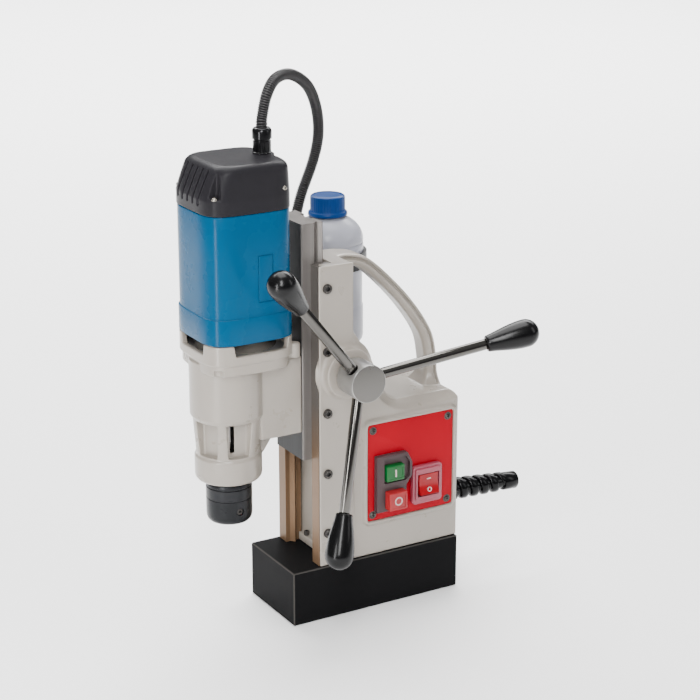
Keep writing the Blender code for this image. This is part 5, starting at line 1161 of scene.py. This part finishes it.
def switches():
    """The switch housing with its hooded upper pocket, and the start and stop keys with their marks."""
    left, right, bottom, top = SWITCH_X - 17.6, SWITCH_X + 12.6, 92.0, 144.5
    waist = 113.9
    outline = [
        (left, bottom), (right, bottom), (right, waist), (right + 6, waist + 8), (right + 6, top - 10),
        (right + 1, top), (left, top),
    ]
    housing = prism("switch_shape", outline, "XZ", BEZEL_FRONT, PANEL_FRONT - 0.3, 0.7, 3)
    neck = block("neck", (2.2, BEZEL_FRONT + 2, 93.3), (24.8, BODY_BACK, 137.2))
    join(housing, neck)
    room = 0.35
    for z, half in ((START_Z, START_HALF), (STOP_Z, STOP_HALF)):
        pocket = block(
            "pocket",
            (SWITCH_X - KEY_HALF - room, BEZEL_FRONT - 2, z - half - room),
            (SWITCH_X + KEY_HALF + room, -32.8, z + half + room),
        )
        cut(housing, pocket)
    hood = [
        (right + 3.2, waist + 8), (right + 3.2, top - 9.5), (right - 0.5, top - 3.2),
        (SWITCH_X - 10.6, top - 3.2), (SWITCH_X - 10.6, waist + 4.6), (right - 1.0, waist + 4.6),
    ]
    cut(housing, prism("hood", hood, "XZ", BEZEL_FRONT - 1, BEZEL_FRONT + 3.0))
    smooth(housing, 30)
    done(housing, "stand", "switch_grey", SWITCH_GREY, "switch_housing")
    key("start_key", "start_button", START_Z, START_HALF, START_FRONT, GREEN_KEY, "green_key")
    key("stop_key", "stop_button", STOP_Z, STOP_HALF, STOP_FRONT, RED_KEY, "red_key")
    bar = prism(
        "start_mark", oblong(SWITCH_X, START_Z, 0.7, 3.4, 0.3), "XZ", START_FRONT, START_FRONT + 0.6
    )
    done(bar, "start_button", "green_key", KEY_MARK)
    ring = lathe(
        "stop_mark", [(2.9, -0.5), (3.9, -0.5), (3.9, 0.0), (2.9, 0.0)],
        (SWITCH_X, STOP_FRONT, STOP_Z), (0, -1, 0), 48, True,
    )
    done(ring, "stop_button", "red_key", KEY_MARK)


def key(name, node, z, half, front, look, slot):
    """A square key with rounded edges and a slightly hollowed face."""
    back, border = -36.3, 2.2
    made = block(name, (SWITCH_X - KEY_HALF, front, z - half), (SWITCH_X + KEY_HALF, back, z + half))
    soften(made, 1.0, 4)
    face = oblong(SWITCH_X, z, KEY_HALF - border, half - border, 0.8)
    cut(made, prism("face", face, "XZ", front - 1, front + 0.35))
    done(smooth(made, 30), node, slot, look, node)


def rocker():
    """The magnet's rocker switch: a translucent frame, the tilted key and its two marks."""
    bezel = prism(
        "rocker_bezel", oblong(ROCKER_X, ROCKER_Z, 15.4, 18, 3.2, 8), "XZ",
        BEZEL_FRONT + 1.6, PANEL_FRONT - 0.3, 0.8, 3,
    )
    wall = prism(
        "wall", rectangle(ROCKER_X - 13.2, ROCKER_Z - 14.2, ROCKER_X + 13.2, ROCKER_Z + 15.8, 2.2, 8), "XZ",
        BEZEL_FRONT, PANEL_FRONT, 0.7, 3,
    )
    body = block(
        "body", (ROCKER_X - 12.4, BEZEL_FRONT + 2, ROCKER_Z - 12), (ROCKER_X + 12.4, BODY_BACK, ROCKER_Z + 12)
    )
    join(bezel, wall, body)
    pocket = block(
        "pocket",
        (ROCKER_X - 11.2, BEZEL_FRONT - 2, ROCKER_Z - 10.8),
        (ROCKER_X + 11.2, -35.3, ROCKER_Z + 10.8),
    )
    cut(bezel, pocket)
    done(smooth(bezel), "stand", "clear_red", CLEAR_RED, "rocker_frame")
    half, axis_y, tilt = 9.6, PANEL_FRONT - 1.5, math.radians(8)
    points = [
        (-7.0, half), (-5.9, 5), (-5.4, 0), (-5.9, -5), (-7.0, -half), (0.8, -half + 1.5), (3.0, 0),
        (0.8, half - 1.5),
    ]
    outline = []
    for out, up in points:
        moved = Matrix.Rotation(-tilt, 2) @ Vector((out, up))
        outline.append((axis_y + moved.x, ROCKER_Z + moved.y))
    paddle = prism("rocker_key", outline, "YZ", ROCKER_X - 9.8, ROCKER_X + 9.8, 0.5)
    done(smooth(paddle), "magnet_rocker", "red_key", ROCKER_RED, "magnet_rocker")
    x, y, z = ROCKER_X, axis_y - 5.9, ROCKER_Z
    marks = (
        lathe(
            "rocker_mark_on", [(1.5, -0.6), (2.2, -0.6), (2.2, 0.75), (1.5, 0.75)],
            (x, y, z - 5.0), (0, -1, 0), 32, True,
        ),
        block("rocker_mark_off", (x - 2.0, y - 0.6, z + 4.6), (x + 2.0, y + 0.3, z + 5.4)),
    )
    pivot = Vector((ROCKER_X, axis_y, ROCKER_Z)) * MM
    tilted = Matrix.Translation(pivot) @ Matrix.Rotation(-tilt, 4, "X") @ Matrix.Translation(-pivot)
    for mark in marks:
        mark.data.transform(tilted)
        done(mark, "magnet_rocker", "red_key", KEY_MARK)


# ---------------------------------------------------------------- strain relief and bottle


def strain_relief():
    """The rubber sleeve for the mains lead: a tapered core with a spiral rib and a plain tip."""
    droop = math.radians(4)
    axis = Vector((math.cos(droop), 0, -math.sin(droop)))
    start = Vector((BODY_REAR + 0.3 - 11.4 * math.tan(droop), -10, 83))
    length, tip_from = 84.0, 69.0
    core = lathe(
        "relief_shape",
        [(0, 0.4), (10.6, 0.4), (11.2, 0.8), (11.2, 2.8), (8.6, 3.6), (6.3, tip_from), (8.0, tip_from + 0.5),
         (8.3, tip_from + 1.2), (8.3, length - 1.0), (7.6, length), (4.5, length), (4.5, length - 30),
         (0, length - 30)],
        start, axis, 72,
    )
    axis, across, up = frame_at(axis)
    turns, steps, section_steps = 5.6, 44, 16
    rings = []
    total = int(turns * steps)
    for step in range(total + 1):
        share = step / total
        angle = FULL_TURN * turns * share
        out = across * math.cos(angle) + up * math.sin(angle)
        fade = min(1.0, share * 12 + 0.15, (1 - share) * 12 + 0.15)
        along, away = 4.8 + share * (tip_from - 3.2), 8.0 - share * 2.1
        ring = []
        for a, b in boxy(section_steps):
            ring.append(start + axis * (along + 4.4 * fade * b) + out * (away + 3.0 * fade * a))
        rings.append(ring)
    gather(core, loft("thread", rings))
    done(smooth(core, 45), "stand", "relief_rubber", RELIEF, "strain_relief")


def boxy(steps, power=0.7):
    """A circle of radius 1 that is pushed out a little towards its corners."""
    outline = []
    for i in range(steps):
        angle = FULL_TURN * i / steps
        outline.append(tuple(math.copysign(abs(v) ** power, v) for v in (math.cos(angle), math.sin(angle))))
    return outline


BOTTLE = (13.0, 70.3)
BOTTLE_LOW = 218.0
LID_LOW = BOTTLE_LOW + 118.3
LID_RIBS, RIB_HEIGHT = 40, 0.28


def bottle():
    """The coolant bottle, hollow and with an open neck."""
    outer = [
        (0, 1.6), (14, 1.2), (23.5, 0.2), (25.5, 0), (29.4, 1.2), (31.3, 3.6), (32, 7.2), (32, 34),
        (31.6, 35.2), (31.15, 36.4), (31.15, 66), (31.6, 67.2), (32, 68.4), (32, 92.0), (31.7, 93.0),
        (31.2, 93.4), (31.7, 93.8), (32, 94.8), (31.9, 98), (30.9, 102.2), (28.8, 106.4), (25.2, 110.6),
        (20.4, 114.2), (16.2, 116.2), (13.0, 117.4), (12.2, 118.2), (12, 119), (12, 131),
    ]
    inner = [
        (10.5, 131), (10.5, 117), (14.5, 114.9), (19.5, 112.8), (24.4, 109.2), (27.6, 105.4), (29.6, 101.4),
        (30.4, 97), (30.4, 8), (28.6, 3.4), (24.6, 1.9), (0, 2.9),
    ]
    shell = lathe("bottle_shape", outer + inner, (*BOTTLE, BOTTLE_LOW), steps=120)
    done(smooth(shell, 50), "stand", "bottle_milky", MILKY, "coolant_bottle")


def lid():
    """The bottle's cap, ribbed round its grip."""
    profile = [
        (17.75, 0), (17.75, 1.4), (17.5, 2.6), (16.9, 3.2), (16.3, 3.6), (15.75, 4.6), (15.75, 15.6),
        (15.3, 17.0), (14.2, 17.8), (12.6, 18.0), (12.2, 17.5), (0.5, 17.5),
    ]
    steps = LID_RIBS * 6
    rings = []
    for radius, z in profile:
        ribbed = 3.8 < z < 16.5 and radius > 15
        ring = []
        for i in range(steps):
            angle = FULL_TURN * i / steps
            size = radius
            if ribbed:
                size += RIB_HEIGHT * ((0.5 + 0.5 * math.cos(angle * LID_RIBS)) ** 1.5 - 1)
            ring.append((BOTTLE[0] + size * math.cos(angle), BOTTLE[1] + size * math.sin(angle), LID_LOW + z))
        rings.append(ring)
    made = loft("lid_shape", rings)
    cut(made, rod("hollow", 12.5, (*BOTTLE, LID_LOW - 1), (*BOTTLE, BOTTLE_LOW + 131.6)))
    done(smooth(made, 35), "bottle_cap", "cap_blue", CAP_BLUE, "bottle_cap")


def strap():
    carried("bottle_strap", STRAP, 0.4)
    screw = cross_screw("strap_screw", 3.2, 1.6, (-20.7, 24.0, 296.5), (1, 0, 0), 0.4)
    done(screw, "stand", "steel", SCREW_BRIGHT)


make_studio()
conduit()
stand()
base()
slide()
feed_wheel()
gearbox()
arbor()
motor()
cap()
inner_pieces()
gland()
elbow()
panel()
switches()
rocker()
strain_relief()
bottle()
lid()
strap()
